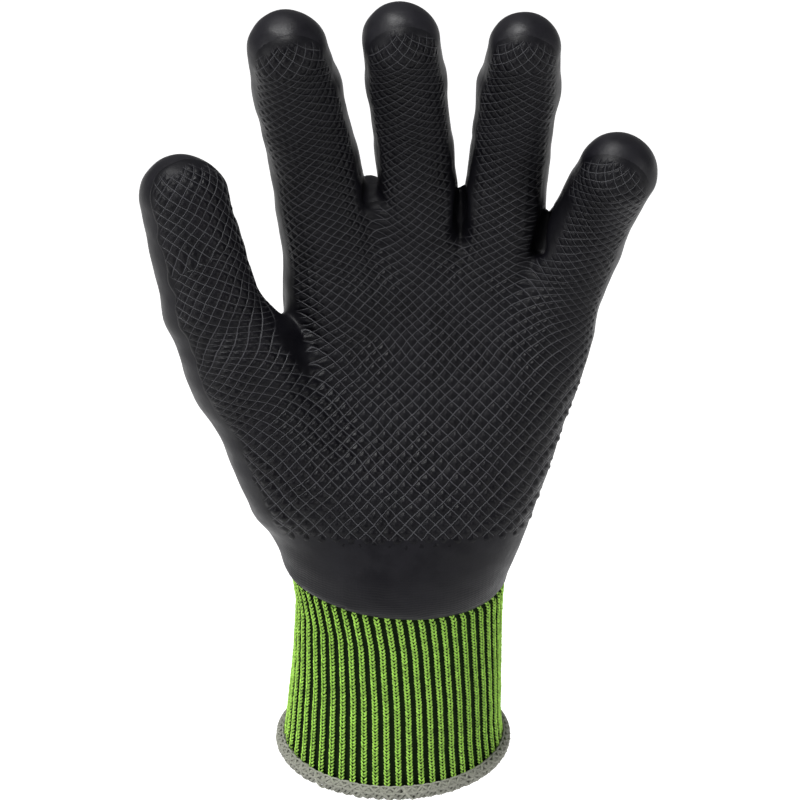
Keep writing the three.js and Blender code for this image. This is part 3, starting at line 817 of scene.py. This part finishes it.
def knit_rows_group() -> Tree:
    """Courses and wales of the knit showing through latex: Height from 0 to 1, on rows of the given pitch."""
    spacing = {"Pitch": 0.0008, "Wale": 0.0011}
    sheet, given, out = new_group("knit_rows", ("Place",), spacing, ("Height",))
    parts = sheet.split(given["Place"])
    wander = sheet.times(sheet.noise(given["Place"], 160.0, 1.0), 2.2)
    turns = sheet.plus(sheet.math("DIVIDE", parts[2], given["Pitch"]), wander)
    across = sheet.math("DIVIDE", parts[0], given["Wale"])
    rows = sheet.math("SINE", sheet.times(turns, TURN))
    columns = sheet.math("SINE", sheet.times(across, TURN))
    both = sheet.plus(sheet.times(rows, 0.36), sheet.times(columns, 0.14))
    sheet.put(sheet.plus(both, 0.5), out["Height"])
    return sheet.tree


def yarn_twist_group() -> Tree:
    """Plies wound round a yarn whose UV runs around and along it, and fibres: Height and Fibre, 0 to 1."""
    winding = {"Plies": 3.0, "Slant": 2.0}
    sheet, given, out = new_group("yarn_twist", ("Around", "Place"), winding, ("Height", "Fibre"))
    parts = sheet.split(given["Around"])
    around = sheet.times(parts[0], given["Plies"])
    turns = sheet.plus(around, sheet.times(parts[1], given["Slant"]))
    ply = sheet.math("ABSOLUTE", sheet.math("SINE", sheet.times(turns, math.pi)))
    fibre = sheet.noise(given["Place"], 3200.0, 2.0, 0.7)
    sheet.put(sheet.plus(sheet.times(ply, 0.7), sheet.times(fibre, 0.5)), out["Height"])
    sheet.put(fibre, out["Fibre"])
    return sheet.tree


Colour = tuple[float, float, float, float]
"""Red, green, blue and alpha, linear."""


@dataclass(frozen=True)
class LatexFinish:
    """Satin black dipped latex. The depths are in millimetres."""

    name: str
    dark: Colour = (0.0029, 0.0027, 0.0043, 1.0)
    worn: Colour = (0.0051, 0.0048, 0.0071, 1.0)
    roughness: float = 0.45
    specular: float = 0.20
    netted: bool = False
    # Ridge colour, lighter than the cells: partly wear on the raised lines, partly painted highlight where
    # they catch the light
    ridge: Colour = (0.057, 0.057, 0.063, 1.0)
    grain_depth: float = 0.03
    knit_depth: float = 0.05
    ridge_depth: float = 0.30
    pillow_depth: float = 0.19

    def build(self, grain: Tree, rows: Tree) -> Material:
        """Makes the material.

        Args:
            grain: The latex grain group.
            rows: The knit rows group.

        Returns:
            The material.
        """
        material, sheet, shader, place = new_material(self.name)
        grains = sheet.group(grain, Place=place, Depth=self.grain_depth)
        knit = sheet.group(rows, Place=place)
        show = sheet.stored("knit")
        courses = sheet.times(knit["Height"], sheet.times(show, self.knit_depth))
        height = sheet.plus(grains["Height"], courses)
        colour = sheet.mix(grains["Tone"], self.dark, self.worn)
        if self.netted:
            ridge, pillow = self._net(sheet, place)
            height = sheet.plus(height, sheet.times(ridge, self.ridge_depth))
            height = sheet.plus(height, sheet.times(pillow, self.pillow_depth))
            # The ridge colour paints the net's lines lighter: partly wear, partly painted highlight
            colour = sheet.mix(ridge, colour, self.ridge)
        sheet.put(colour, shader["Base Color"])
        sheet.put(sheet.bump(height), shader["Normal"])
        rough = sheet.span(grains["Tone"], 0.0, 1.0, self.roughness - 0.05, self.roughness + 0.07)
        sheet.put(rough, shader["Roughness"])
        sheet.put(self.specular, shader["Specular IOR Level"])
        return material

    def _net(self, sheet: Sheet, place: Socket) -> tuple[Socket, Socket]:
        """Ridges where the sum or the difference of the UV pair is whole, and the pillow inside each cell.

        Args:
            sheet: The material's sheet.
            place: Object coordinates.

        Returns:
            The ridge's height and the pillow's height, both 0 to 1 and faded by the net's mask.
        """
        parts = sheet.split(sheet.node("ShaderNodeUVMap", uv_map="pattern").outputs[0])
        mask = sheet.stored("net")
        wobble = sheet.times(sheet.math("SUBTRACT", sheet.noise(place, 500.0, 1.0), 0.5), 0.12)
        lines = []
        for operation in ("ADD", "SUBTRACT"):
            phase = sheet.math(operation, parts[0], parts[1])
            lines.append(sheet.math("PINGPONG", sheet.plus(phase, wobble), 0.5))
        nearest = sheet.math("MINIMUM", *lines)
        ridge = sheet.span(nearest, 0.0, 0.085, 1.0, 0.0)
        pillow = sheet.span(nearest, 0.08, 0.36)
        crease = sheet.times(sheet.noise(place, 1100.0, 1.0), 0.35)
        pillow = sheet.times(pillow, sheet.plus(crease, 0.8))
        return sheet.times(ridge, mask), sheet.times(pillow, mask)


@dataclass(frozen=True)
class YarnFinish:
    """Matt spun yarn, from its shaded to its lit tone."""

    name: str
    shade: Colour
    lit: Colour
    plies: float = 3.0
    slant: float = 2.0
    twist_depth: float = 0.07
    sheen: float = 0.1

    def build(self, twist: Tree) -> Material:
        """Makes the material from the yarn twist group and each stitch's own tone."""
        material, sheet, shader, place = new_material(self.name)
        uv = sheet.node("ShaderNodeUVMap", uv_map="pattern").outputs[0]
        plies = sheet.group(twist, Around=uv, Place=place, Plies=self.plies, Slant=self.slant)
        tone = sheet.stored("tone")
        speck = sheet.times(sheet.math("SUBTRACT", plies["Fibre"], 0.5), 0.7)
        share = sheet.math("ADD", tone, speck, clamp=True)
        sheet.put(sheet.mix(share, self.shade, self.lit), shader["Base Color"])
        height = sheet.times(plies["Height"], self.twist_depth)
        sheet.put(sheet.bump(height), shader["Normal"])
        sheet.put(0.9, shader["Roughness"])
        sheet.put(0.15, shader["Specular IOR Level"])
        sheet.put(self.sheen, shader["Sheen Weight"])
        sheet.put(0.6, shader["Sheen Roughness"])
        return material


# Pieces of the glove


@dataclass
class DippedHand:
    """The coat: base latex all round, and the second, netted coat on the palm side."""

    form: HandForm
    cell: float = 2.55
    wall: float = 1.8
    dip_height: float = 66.0
    dip_roll: float = 5.4
    dip_pitch: float = 3.4
    bead: float = 1.4
    rim_curl: float = 0.55
    layer_out: float = 0.55
    layer_under: float = 0.2
    net_height: float = 0.36
    grip_overlap: float = 4.5
    # Depth, middle and half width of the sag of the border at the heel
    heel_sag: tuple[float, float, float] = (1.6, 4.0, 34.0)
    # From here to knit_back: where each smooth step begins and ends. The cell's wall is in cells, the crisp
    # share is a share of the thumb, and the rest are millimetres.
    soft_border: tuple[float, float] = (-3.0, 4.5)
    crisp_border: tuple[float, float] = (-0.5, 1.0)
    crisp_share: tuple[float, float] = (0.3, 0.8)
    heel_border: tuple[float, float] = (-3.0, 7.0)
    net_border: tuple[float, float] = (0.2, 2.6)
    net_tip: tuple[float, float] = (9.6, 7.2)
    net_heel: tuple[float, float] = (-1.5, 1.5)
    net_bare: tuple[float, float] = (0.2, 2.8)
    cell_wall: tuple[float, float] = (0.08, 0.44)
    knit_band: tuple[float, float] = (20.0, 4.0)
    knit_back: tuple[float, float] = (-4.0, -12.0)
    # Unevenness of the skin, the borders, the net's lines (in cells) and the net's ends
    skin: tuple[Ripple, Ripple] = (Ripple(0.16, 26.0, 0), Ripple(0.07, 9.0, 1))
    crisp_ripple: Ripple = Ripple(0.5, 9.0, 3)
    drifts: tuple[Ripple, Ripple] = (Ripple(0.055, 12.0, 5), Ripple(0.055, 14.0, 6))
    ragged: Ripple = Ripple(0.9, 9.0, 2)
    border_ripple: Ripple = Ripple(0.8, 8.0, 9)
    tip_ripple: Ripple = Ripple(0.9, 6.0, 4)
    bare_ripple: Ripple = Ripple(0.5, 6.0, 10)
    pattern: NetPattern = field(default_factory=NetPattern)

    def dip(self, p: Array) -> Array:
        """Height of each row-frame point over the dip line's tilted plane."""
        roll, pitch = math.tan(math.radians(self.dip_roll)), math.tan(math.radians(self.dip_pitch))
        return p[:, 2] - (self.dip_height - p[:, 0] * roll + p[:, 1] * pitch)

    def base_net(self) -> Net:
        """The net over the hand, less the faces that lie wholly under the dip line."""
        net = Net.over(self.form, self.cell)
        above = self.dip(self.form.to_world(net.vertices)) > 0
        return net.kept(above[net.faces].any(axis=1))

    def trimmed(self, net: Net) -> Net:
        """Moves vertices that hang under the dip line up the wall to it, and settles them there."""
        q = net.vertices
        for _ in range(3):
            low = np.minimum(self.dip(self.form.to_world(q)), 0.0)
            q = q - low[:, None] * np.array([0.0, self.form.up[2], self.form.out[2]])
            q = self.form.settle(q, 1.0, 1)
        return Net(q, net.faces)

    def relief(self, q: Array) -> Array:
        """Soft unevenness of the dipped skin, in millimetres: long and short ripples added."""
        return self.skin[0].at(q) + self.skin[1].at(q)

    def make_base(self, net: Net, material: Material) -> None:
        """The base coat: outer skin, inner skin a wall's thickness inward, and the rim that joins them.

        Args:
            net: The base net.
            material: Base latex.
        """
        fine = net.finer()
        fine.vertices = self.form.settle(fine.vertices, self.cell / 2.0, 2)
        fine = self.trimmed(fine)
        q, normal = fine.vertices, self.form.normal(fine.vertices)
        over = self.dip(self.form.to_world(q))
        curl = self.rim_curl * (1.0 - np.clip(over / self.bead, 0.0, 1.0)) ** 2
        outer = q + normal * (self.relief(q) - curl)[:, None]
        inner = q - normal * (self.wall - 0.3 * curl)[:, None]
        count = len(q)
        edge = fine.border()
        rim = np.stack([edge[:, 1], edge[:, 0], edge[:, 0] + count, edge[:, 1] + count], axis=1)
        faces = np.concatenate([fine.faces, fine.faces[:, ::-1] + count, rim])
        points = self.form.to_world(np.concatenate([outer, inner]))
        band = smoothstep(*self.knit_band, over) + 0.5 * smoothstep(*self.knit_back, q[:, 2])
        piece = add_mesh("base_coat", points, faces, knit=np.tile(np.clip(band, 0.0, 1.0), 2))
        dress(piece, material, Slot.LATEX, Node.COAT)

    def make_grip(self, net: Net, material: Material) -> None:
        """The second coat: the base net raised inside its border, and sinking under the base coat outside it.

        Args:
            net: The trimmed base net.
            material: Netted latex.
        """
        grip = self.form.grip_field(net.vertices, self.pattern)
        inside = np.minimum(grip["front"], net.vertices[:, 1] - self.form.grip_start)
        fine = net.kept((inside > -self.grip_overlap)[net.faces].any(axis=1))
        for reach in (self.cell / 2.0, self.cell / 4.0):
            fine = fine.finer()
            fine.vertices = self.form.settle(fine.vertices, reach, 2)
        q, normal = fine.vertices, self.form.normal(fine.vertices)
        grip = self.form.grip_field(q, self.pattern)
        sag, middle, width = self.heel_sag
        start = q[:, 1] - self.form.grip_start - sag * ((q[:, 0] - middle) / width) ** 2
        soft = smoothstep(*self.soft_border, grip["front"])
        crisp = smoothstep(*self.crisp_border, grip["front"] + self.crisp_ripple.at(q))
        ramp = soft + (crisp - soft) * smoothstep(*self.crisp_share, grip["thumb"])
        ramp = np.minimum(ramp, smoothstep(*self.heel_border, start))
        u, v = grip["column"] + self.drifts[0].at(q), grip["row"] + self.drifts[1].at(q)
        whole = np.round(u + v), np.round(u - v)
        ragged = self.ragged.at(np.stack([*whole, u * 0.0], axis=1) * 7.0)
        net_mask = (
            smoothstep(*self.net_border, grip["front"] + self.border_ripple.at(q))
            * smoothstep(*self.net_tip, grip["beyond"] + self.tip_ripple.at(q))
            * smoothstep(*self.net_heel, start + ragged)
            * smoothstep(*self.net_bare, self.form.from_bare(q) + self.bare_ripple.at(q))
        )
        walls = [smoothstep(*self.cell_wall, np.abs(way)) for way in (u + v - whole[0], u - v - whole[1])]
        pillow = walls[0] * walls[1]
        lift = -self.layer_under + (self.layer_out + self.layer_under) * ramp
        lift += self.net_height * net_mask * (pillow * (1.3 - 0.6 * grip["digit"]) - 0.5)
        points = self.form.to_world(q + normal * (self.relief(q) + lift)[:, None])
        uv = np.stack([u, v], axis=1)
        piece = add_mesh("grip_layer", points, fine.faces, uv, net=net_mask, knit=np.zeros(len(q)))
        dress(piece, material, Slot.GRIP_LATEX, Node.GRIP)


@dataclass
class RibCuff:
    """The rib-knit wrist: a dark ribbed ground tube and the V stitches of its raised ribs."""

    ribs: int = 54
    rows: int = 54
    half: tuple[float, float] = (33.3, 26.0)
    length: float = 66.0
    tuck: float = 6.0
    bottom: float = 0.5
    ground_under: float = 0.9
    wall: float = 2.2
    stitch_radius: float = 0.32
    stitch_spread: float = 0.70
    # Mean and spread of the stitches' tone
    stitch_tone: tuple[float, float] = (0.68, 0.12)
    stitch_start: float = 0.10
    stitch_bulge: float = 0.30
    stitch_inset: float = 0.57
    # Spread of the stitches' heights in rows, their widths as a share, and their bulge in millimetres
    jitters: tuple[float, float, float] = (0.05, 0.05, 0.04)
    # Depth of the ground's waves, outside and inside
    waves: tuple[float, float] = (0.55, 0.25)
    ground_ripple: Ripple = Ripple(0.1, 5.0, 7)
    profile_rows: tuple[float, ...] = (0.0, 0.07, 0.2, 0.3, 0.4, 0.5, 0.65, 0.8, 0.9, 0.98, 1.01, 1.09)
    width_shares: tuple[float, ...] = (
        1.085, 1.07, 1.045, 1.035, 1.02, 1.01, 0.997, 0.988, 1.0, 1.018, 0.972, 0.958,
    )
    depth_shares: tuple[float, ...] = (
        1.15, 1.115, 1.08, 1.07, 1.06, 1.05, 1.035, 1.02, 1.01, 1.0, 0.955, 0.9,
    )
    middles: tuple[tuple[float, ...], tuple[float, ...]] = (
        (0.0, 0.2, 0.5, 0.8, 0.96, 1.05),
        (0.0, 0.35, 1.4, 2.0, 1.5, 0.6),
    )
    drifts: tuple[tuple[float, ...], tuple[float, ...]] = (
        (0.0, 0.24, 0.46, 0.79, 1.0),
        (5.2, 4.5, 3.5, 1.6, 0.4),
    )
    dip: Callable[[Array, Array], Array] | None = None

    def angles(self, shares: Array) -> Array:
        """Angles evenly along the cuff's ellipse, by running sums of short chords, the hand's back first."""
        fine = math.pi / 2.0 + np.linspace(0.0, TURN, 1441)
        a, b = self.half
        chord = np.hypot(np.diff(a * np.cos(fine)), np.diff(b * np.sin(fine)))
        along = np.concatenate([[0.0], np.cumsum(chord)]) / chord.sum()
        return np.interp(shares % 1.0, along, fine)

    def surface(self, around: Array, up: Array, inset: Array) -> Array:
        """Points of the cuff.

        Args:
            around: Share of the way round, any number.
            up: 0 at the hem and 1 at the dip line; past 1 is tucked inside the coat.
            inset: Distance inward from the tops of the ribs.

        Returns:
            Points in the row frame, in millimetres, with the shape of the arguments and a last axis of 3. The
            ellipse narrows from the flared hem to the wrist by a table of shares, its middle moves sideways
            with height, and the ribs drift round it.
        """
        width = np.interp(up, self.profile_rows, self.width_shares)
        depth = np.interp(up, self.profile_rows, self.depth_shares)
        middle, drift = np.interp(up, *self.middles), np.interp(up, *self.drifts)
        angle = self.angles(around) + drift / self.half[0]
        x = middle + (width * self.half[0] - inset) * np.cos(angle)
        y = (depth * self.half[1] - inset) * np.sin(angle)
        top = self.dip(x, y)
        body, tucked = self.bottom + up * (top - self.bottom), top + (up - 1.0) * self.length
        z = np.where(up <= 1.0, body, tucked)
        return np.stack([x, y, z], axis=-1)

    def make_ground(self, material: Material) -> None:
        """The ground tube: a grid of shares round and up, with a wave for each rib, slight on the inside."""
        round_count, up_count = self.ribs * 6, 42
        around = np.arange(round_count) / round_count
        up = np.linspace(0.0, 1.0 + self.tuck / self.length, up_count)
        grid_up, grid_round = np.meshgrid(up, around, indexing="ij")
        wave = 0.5 - 0.5 * np.cos(TURN * grid_round * self.ribs)
        outer = self.surface(grid_round, grid_up, self.ground_under + self.waves[0] * wave)
        inner = self.surface(grid_round, grid_up, self.wall - self.waves[1] * wave)
        loops = np.concatenate([outer, inner[::-1]])
        rows, points = len(loops), loops.reshape(-1, 3)
        uv = [np.tile(around * self.ribs, rows), np.repeat(np.arange(rows) * 0.9, round_count)]
        faces, tone = grid_faces(rows, round_count), 0.25 + self.ground_ripple.at(points)
        piece = add_mesh("cuff_ground", points, faces, np.stack(uv, axis=1), tone=tone)
        dress(piece, material, Slot.GREEN_KNIT, Node.CUFF)

    def make_stitches(self, material: Material) -> None:
        """Two slanted legs for each V of each rib.

        A leg is a short tube of four sides along a curve that rises from the rib's middle line to its side
        and bulges outward by half a sine. Its radius swells by the root of a sine toward its middle.

        Args:
            material: Green yarn.
        """
        rng = np.random.default_rng(SEED)
        rings, sides = 4, 4
        t = np.linspace(0.0, 1.0, rings)
        rib = (np.arange(self.ribs) / self.ribs)[:, None, None]
        pitch = 1.0 / self.rows
        row = ((np.arange(self.rows) + 0.5) * pitch)[None, :, None]
        hand = np.array([-1.0, 1.0])[None, None, :]
        shape = (self.ribs, self.rows, 2)
        jitter = rng.normal(0.0, 1.0, shape + (3,))
        centre_around = np.broadcast_to(rib, shape)
        centre_up = np.broadcast_to(row, shape) + self.jitters[0] * pitch * jitter[..., 0]
        perimeter = TURN * math.sqrt((self.half[0] ** 2 + self.half[1] ** 2) / 2.0)
        way = t[:, None, None, None]
        side = hand * (self.stitch_start + self.stitch_spread * way**0.9)
        side = side * (1.0 + self.jitters[1] * jitter[..., 1])
        around = centre_around + side / perimeter
        up = np.clip(centre_up + (way - 0.5) * pitch, 0.0, 1.03)
        out = self.stitch_bulge * np.sin(math.pi * way) + self.jitters[2] * jitter[..., 2]
        spine = self.surface(around, up, self.stitch_inset - out)
        tangent = one_long(np.gradient(spine, axis=0))
        outward = one_long(spine * np.array([1.0 / self.half[0] ** 2, 1.0 / self.half[1] ** 2, 0.0]))
        sideways = one_long(np.cross(tangent, outward))
        outward = np.cross(sideways, tangent)
        radius = self.stitch_radius * (0.45 + 0.55 * np.sin(math.pi * np.clip(t, 0.06, 0.94)) ** 0.5)
        points = tube_points(spine, outward, sideways, radius[:, None, None, None, None, None], sides)
        points = np.moveaxis(points, 0, 3).reshape(-1, rings, sides, 3)
        legs = len(points)
        quad = grid_faces(rings, sides, closed=False)
        fan = np.array([[0, 2, 1], [0, 3, 2]])
        caps = np.concatenate([fan, fan[:, ::-1] + (rings - 1) * sides])
        halves = np.concatenate([quad[:, [0, 1, 2]], quad[:, [0, 2, 3]], caps])
        faces = (halves[None] + (np.arange(legs) * rings * sides)[:, None, None]).reshape(-1, 3)
        uv = np.tile(tube_uv(t, sides), (legs, 1))
        tone = self.stitch_tone[0] + self.stitch_tone[1] * rng.normal(size=legs)
        tone = np.repeat(tone, rings * sides)
        piece = add_mesh("cuff_ribs", points.reshape(-1, 3), faces, uv, tone=tone)
        dress(piece, material, Slot.GREEN_KNIT)


@dataclass
class OverlockedHem:
    """The hem: a soft core ring wrapped by two overlocking threads that cross."""

    half: tuple[float, float] = (36.5, 30.1)
    low: float = 0.3
    thickness: float = 3.4
    height: float = 4.4
    wraps: int = 138
    thread: float = 0.53
    core_grid: tuple[int, int] = (360, 16)
    core_under: float = 0.62
    chain_thread: float = 0.42
    chain_swing: float = 0.34
    # Degrees round the section: the chain's middle and its swing to either side
    chain_turn: tuple[float, float] = (62.0, 36.0)

    def ring(self, around: Array, turn: Array, swell: Array) -> Array:
        """Points round the hem: the ellipse's, moved out and up by the section's own ellipse at that turn."""
        a, b = self.half
        out = (self.thickness / 2.0 + swell) * np.cos(turn)
        rise = (self.height / 2.0 + swell) * np.sin(turn)
        return np.stack([(a + out) * np.cos(around), (b + out) * np.sin(around), rise - self.low], axis=-1)

    def make_core(self, material: Material) -> None:
        """The padded edge under the threads, a grid of shares round the hem and round its section."""
        rings, sides = self.core_grid
        shares = [np.linspace(0.0, TURN, number, endpoint=False) for number in self.core_grid]
        around, turn = np.meshgrid(*shares, indexing="ij")
        points = self.ring(around, turn, np.full_like(turn, -self.core_under)).reshape(-1, 3)
        uv = np.stack([turn.ravel() / 6.28, around.ravel() * 60.0], axis=1)
        faces = grid_faces(rings, sides)[:, [0, 3, 2, 1]]
        piece = add_mesh("hem_core", points, faces, uv, tone=np.zeros(len(points)))
        dress(piece, material, Slot.GREY_THREAD, Node.HEM)

    def make_thread(
        self, name: str, turns: int, lean: float, lift: float, material: Material
    ) -> None:
        """One thread that winds round the section while it travels round the hem.

        Its path turns once for each stitch, and leans by adding a share of each turn's sine to the way round.

        Args:
            name: The piece's name.
            turns: Number of wraps round the hem.
            lean: How far each wrap leans, in stitches, and to which side.
            lift: Height over the section, in millimetres.
            material: Grey thread.
        """
        count = turns * 14
        share = np.arange(count) / count
        turn = TURN * turns * share
        spots = np.stack([share * 300.0, share * 0.0, share * 0.0 + lean], axis=1)
        wander = ripple(spots, 3.0, SEED + 8)
        around = TURN * (share + (lean * np.sin(turn) + 0.14 * wander) / turns)
        path = self.ring(around, turn, lift + 0.10 * wander + 0.12 * np.cos(turn * 2.0))
        self.tube(name, path, self.thread, share * turns * 9.0, 0.6 + 0.14 * wander, material)

    def make_chain(self, material: Material) -> None:
        """The looped thread along the hem's upper edge.

        Its path goes round once and at each stitch swings out and in by a cosine and to and fro by a sine.

        Args:
            material: Grey thread.
        """
        loops = self.wraps // 2
        count = loops * 16
        share = np.arange(count) / count
        turn = TURN * loops * share
        around = TURN * (share + self.chain_swing * np.sin(2.0 * turn) / loops)
        middle, swing = (math.radians(angle) for angle in self.chain_turn)
        path = self.ring(around, middle + swing * np.cos(turn), np.full(count, 0.12))
        tone = np.full(count, 0.62)
        self.tube("hem_edge_chain", path, self.chain_thread, share * loops * 9.0, tone, material)

    def tube(
        self, name: str, path: Array, radius: float, along: Array, tone: Array,
        material: Material,
    ) -> None:
        """A closed five-sided tube round a path.

        Args:
            name: The piece's name.
            path: N by 3 places, in millimetres, that end where they start.
            radius: The thread's radius.
            along: Each place's way along the thread, for its UV map.
            tone: Each place's tone.
            material: Grey thread.
        """
        count, sides = len(path), 5
        tangent = one_long(np.roll(path, -1, axis=0) - np.roll(path, 1, axis=0))
        a, b = self.half
        around = np.arctan2(path[:, 1] / b, path[:, 0] / a)
        outward = path - np.stack([a * np.cos(around), b * np.sin(around), around * 0.0], axis=1)
        outward = one_long(outward - (outward * tangent).sum(axis=1, keepdims=True) * tangent)
        points = tube_points(path, outward, np.cross(tangent, outward), radius, sides)
        faces, uv = grid_faces(count, sides), tube_uv(along, sides)
        piece = add_mesh(name, points.reshape(-1, 3), faces, uv, tone=np.repeat(tone, sides))
        dress(piece, material, Slot.GREY_THREAD)


# Studio


@dataclass(frozen=True)
class Softbox:
    """A square area light that looks at a point of the glove. Metres and watts."""

    name: str
    place: tuple[float, float, float]
    size: float
    power: float
    target: tuple[float, float, float] = (0.0, 0.02, 0.12)

    def build(self) -> None:
        """Adds the light, turned so that its -Z axis meets the target."""
        data = bpy.data.lights.new(self.name, "AREA")
        data.shape = "SQUARE"
        data.size = self.size
        data.energy = self.power
        lamp = link_object(self.name, data)
        lamp.location = self.place
        way = Vector(self.target) - Vector(self.place)
        lamp.rotation_euler = way.to_track_quat("-Z", "Y").to_euler()


@dataclass
class Studio:
    """Pale floor, even sky and soft boxes, and the photograph's camera."""

    floor_height: float = -0.9
    floor_size: float = 24.0
    floor_glow: float = 0.80
    sky: float = 0.26
    target: tuple[float, float, float] = (0.0022, 0.0216, 0.1143)
    distance: float = 0.7
    elevation: float = 30.0
    lens: float = 100.8
    boxes: tuple[Softbox, ...] = (
        Softbox("top_box", (-0.35, -0.05, 1.45), 0.55, 26.0),
        Softbox("left_box", (-1.25, -0.75, 0.55), 0.7, 11.0),
        Softbox("right_box", (1.3, -0.7, 0.6), 0.7, 9.0),
    )

    def build(self) -> None:
        """Builds everything."""
        self._floor()
        self._sky()
        for box in self.boxes:
            box.build()
        self._camera()

    def _floor(self) -> None:
        """A flat sheet with a pale, faintly uneven finish that glows a little, as a lit sweep does."""
        half, z = self.floor_size / 2.0, self.floor_height
        mesh = bpy.data.meshes.new("floor")
        corners = [(-half, -half, z), (half, -half, z), (half, half, z), (-half, half, z)]
        mesh.from_pydata(corners, [], [(0, 1, 2, 3)])
        floor = link_object("floor", mesh)
        material, sheet, shader, place = new_material("pale_floor")
        colour = sheet.mix(sheet.noise(place, 3.0), (0.93, 0.93, 0.93, 1.0), (0.95, 0.95, 0.95, 1.0))
        sheet.put(colour, shader["Base Color"])
        sheet.put(0.9, shader["Roughness"])
        sheet.put(WHITE, shader["Emission Color"])
        sheet.put(self.floor_glow, shader["Emission Strength"])
        mesh.materials.append(material)

    def _sky(self) -> None:
        """An even pale grey world."""
        world = bpy.data.worlds.new("studio_sky")
        world.use_nodes = True
        background = world.node_tree.nodes["Background"]
        background.inputs["Color"].default_value = WHITE
        background.inputs["Strength"].default_value = self.sky
        bpy.context.scene.world = world

    def _camera(self) -> None:
        """A long lens above the palm that looks down at it by the elevation."""
        data = bpy.data.cameras.new("camera")
        data.lens = self.lens
        data.sensor_width = 36.0
        camera = link_object("camera", data)
        tilt = math.radians(self.elevation)
        x, y, z = self.target
        camera.location = (x, y - self.distance * math.cos(tilt), z + self.distance * math.sin(tilt))
        camera.rotation_euler = (math.pi / 2.0 - tilt, 0.0, 0.0)
        bpy.context.scene.camera = camera
        bpy.context.scene.view_settings.view_transform = "Standard"


@dataclass
class Glove:
    """The whole glove, built piece by piece."""

    form: HandForm = field(default_factory=HandForm)

    def build(self) -> None:
        """Builds the finishes, then the coat, the cuff and the hem."""
        grain, rows, twist = latex_grain_group(), knit_rows_group(), yarn_twist_group()
        base = LatexFinish("base_latex").build(grain, rows)
        netted = LatexFinish(
            "netted_latex", (0.0017, 0.0016, 0.0026, 1.0), (0.0032, 0.0031, 0.0046, 1.0),
            specular=0.13, netted=True,
        ).build(grain, rows)
        green = YarnFinish("green_yarn", (0.035, 0.11, 0.003, 1.0), (0.50, 0.88, 0.13, 1.0)).build(twist)
        # The ground knit's near-black colours are partly darker purl yarn and partly painted shade in the
        # grooves between the ribs
        ground = YarnFinish(
            "shaded_knit", (0.003, 0.007, 0.001, 1.0), (0.014, 0.036, 0.004, 1.0), plies=2.0, sheen=0.0
        ).build(twist)
        grey = YarnFinish("grey_thread", (0.10, 0.10, 0.085, 1.0), (0.34, 0.345, 0.29, 1.0)).build(twist)
        hand = DippedHand(self.form)
        net = hand.base_net()
        hand.make_base(net, base)
        hand.make_grip(hand.trimmed(net), netted)
        roll, pitch = (math.tan(math.radians(angle)) for angle in (hand.dip_roll, hand.dip_pitch))
        cuff = RibCuff(dip=lambda x, y: hand.dip_height - x * roll + y * pitch)
        cuff.make_ground(ground)
        cuff.make_stitches(green)
        hem = OverlockedHem()
        hem.make_core(grey)
        hem.make_thread("hem_wraps", hem.wraps, 0.8, -0.34, grey)
        hem.make_thread("hem_cross_wraps", hem.wraps // 2, -0.75, -0.16, grey)
        hem.make_chain(grey)


def main() -> None:
    """Builds the studio and the glove."""
    logging.basicConfig(level=logging.INFO, format="%(name)s %(message)s")
    Studio().build()
    Glove().build()


if __name__ == "__main__":
    main()
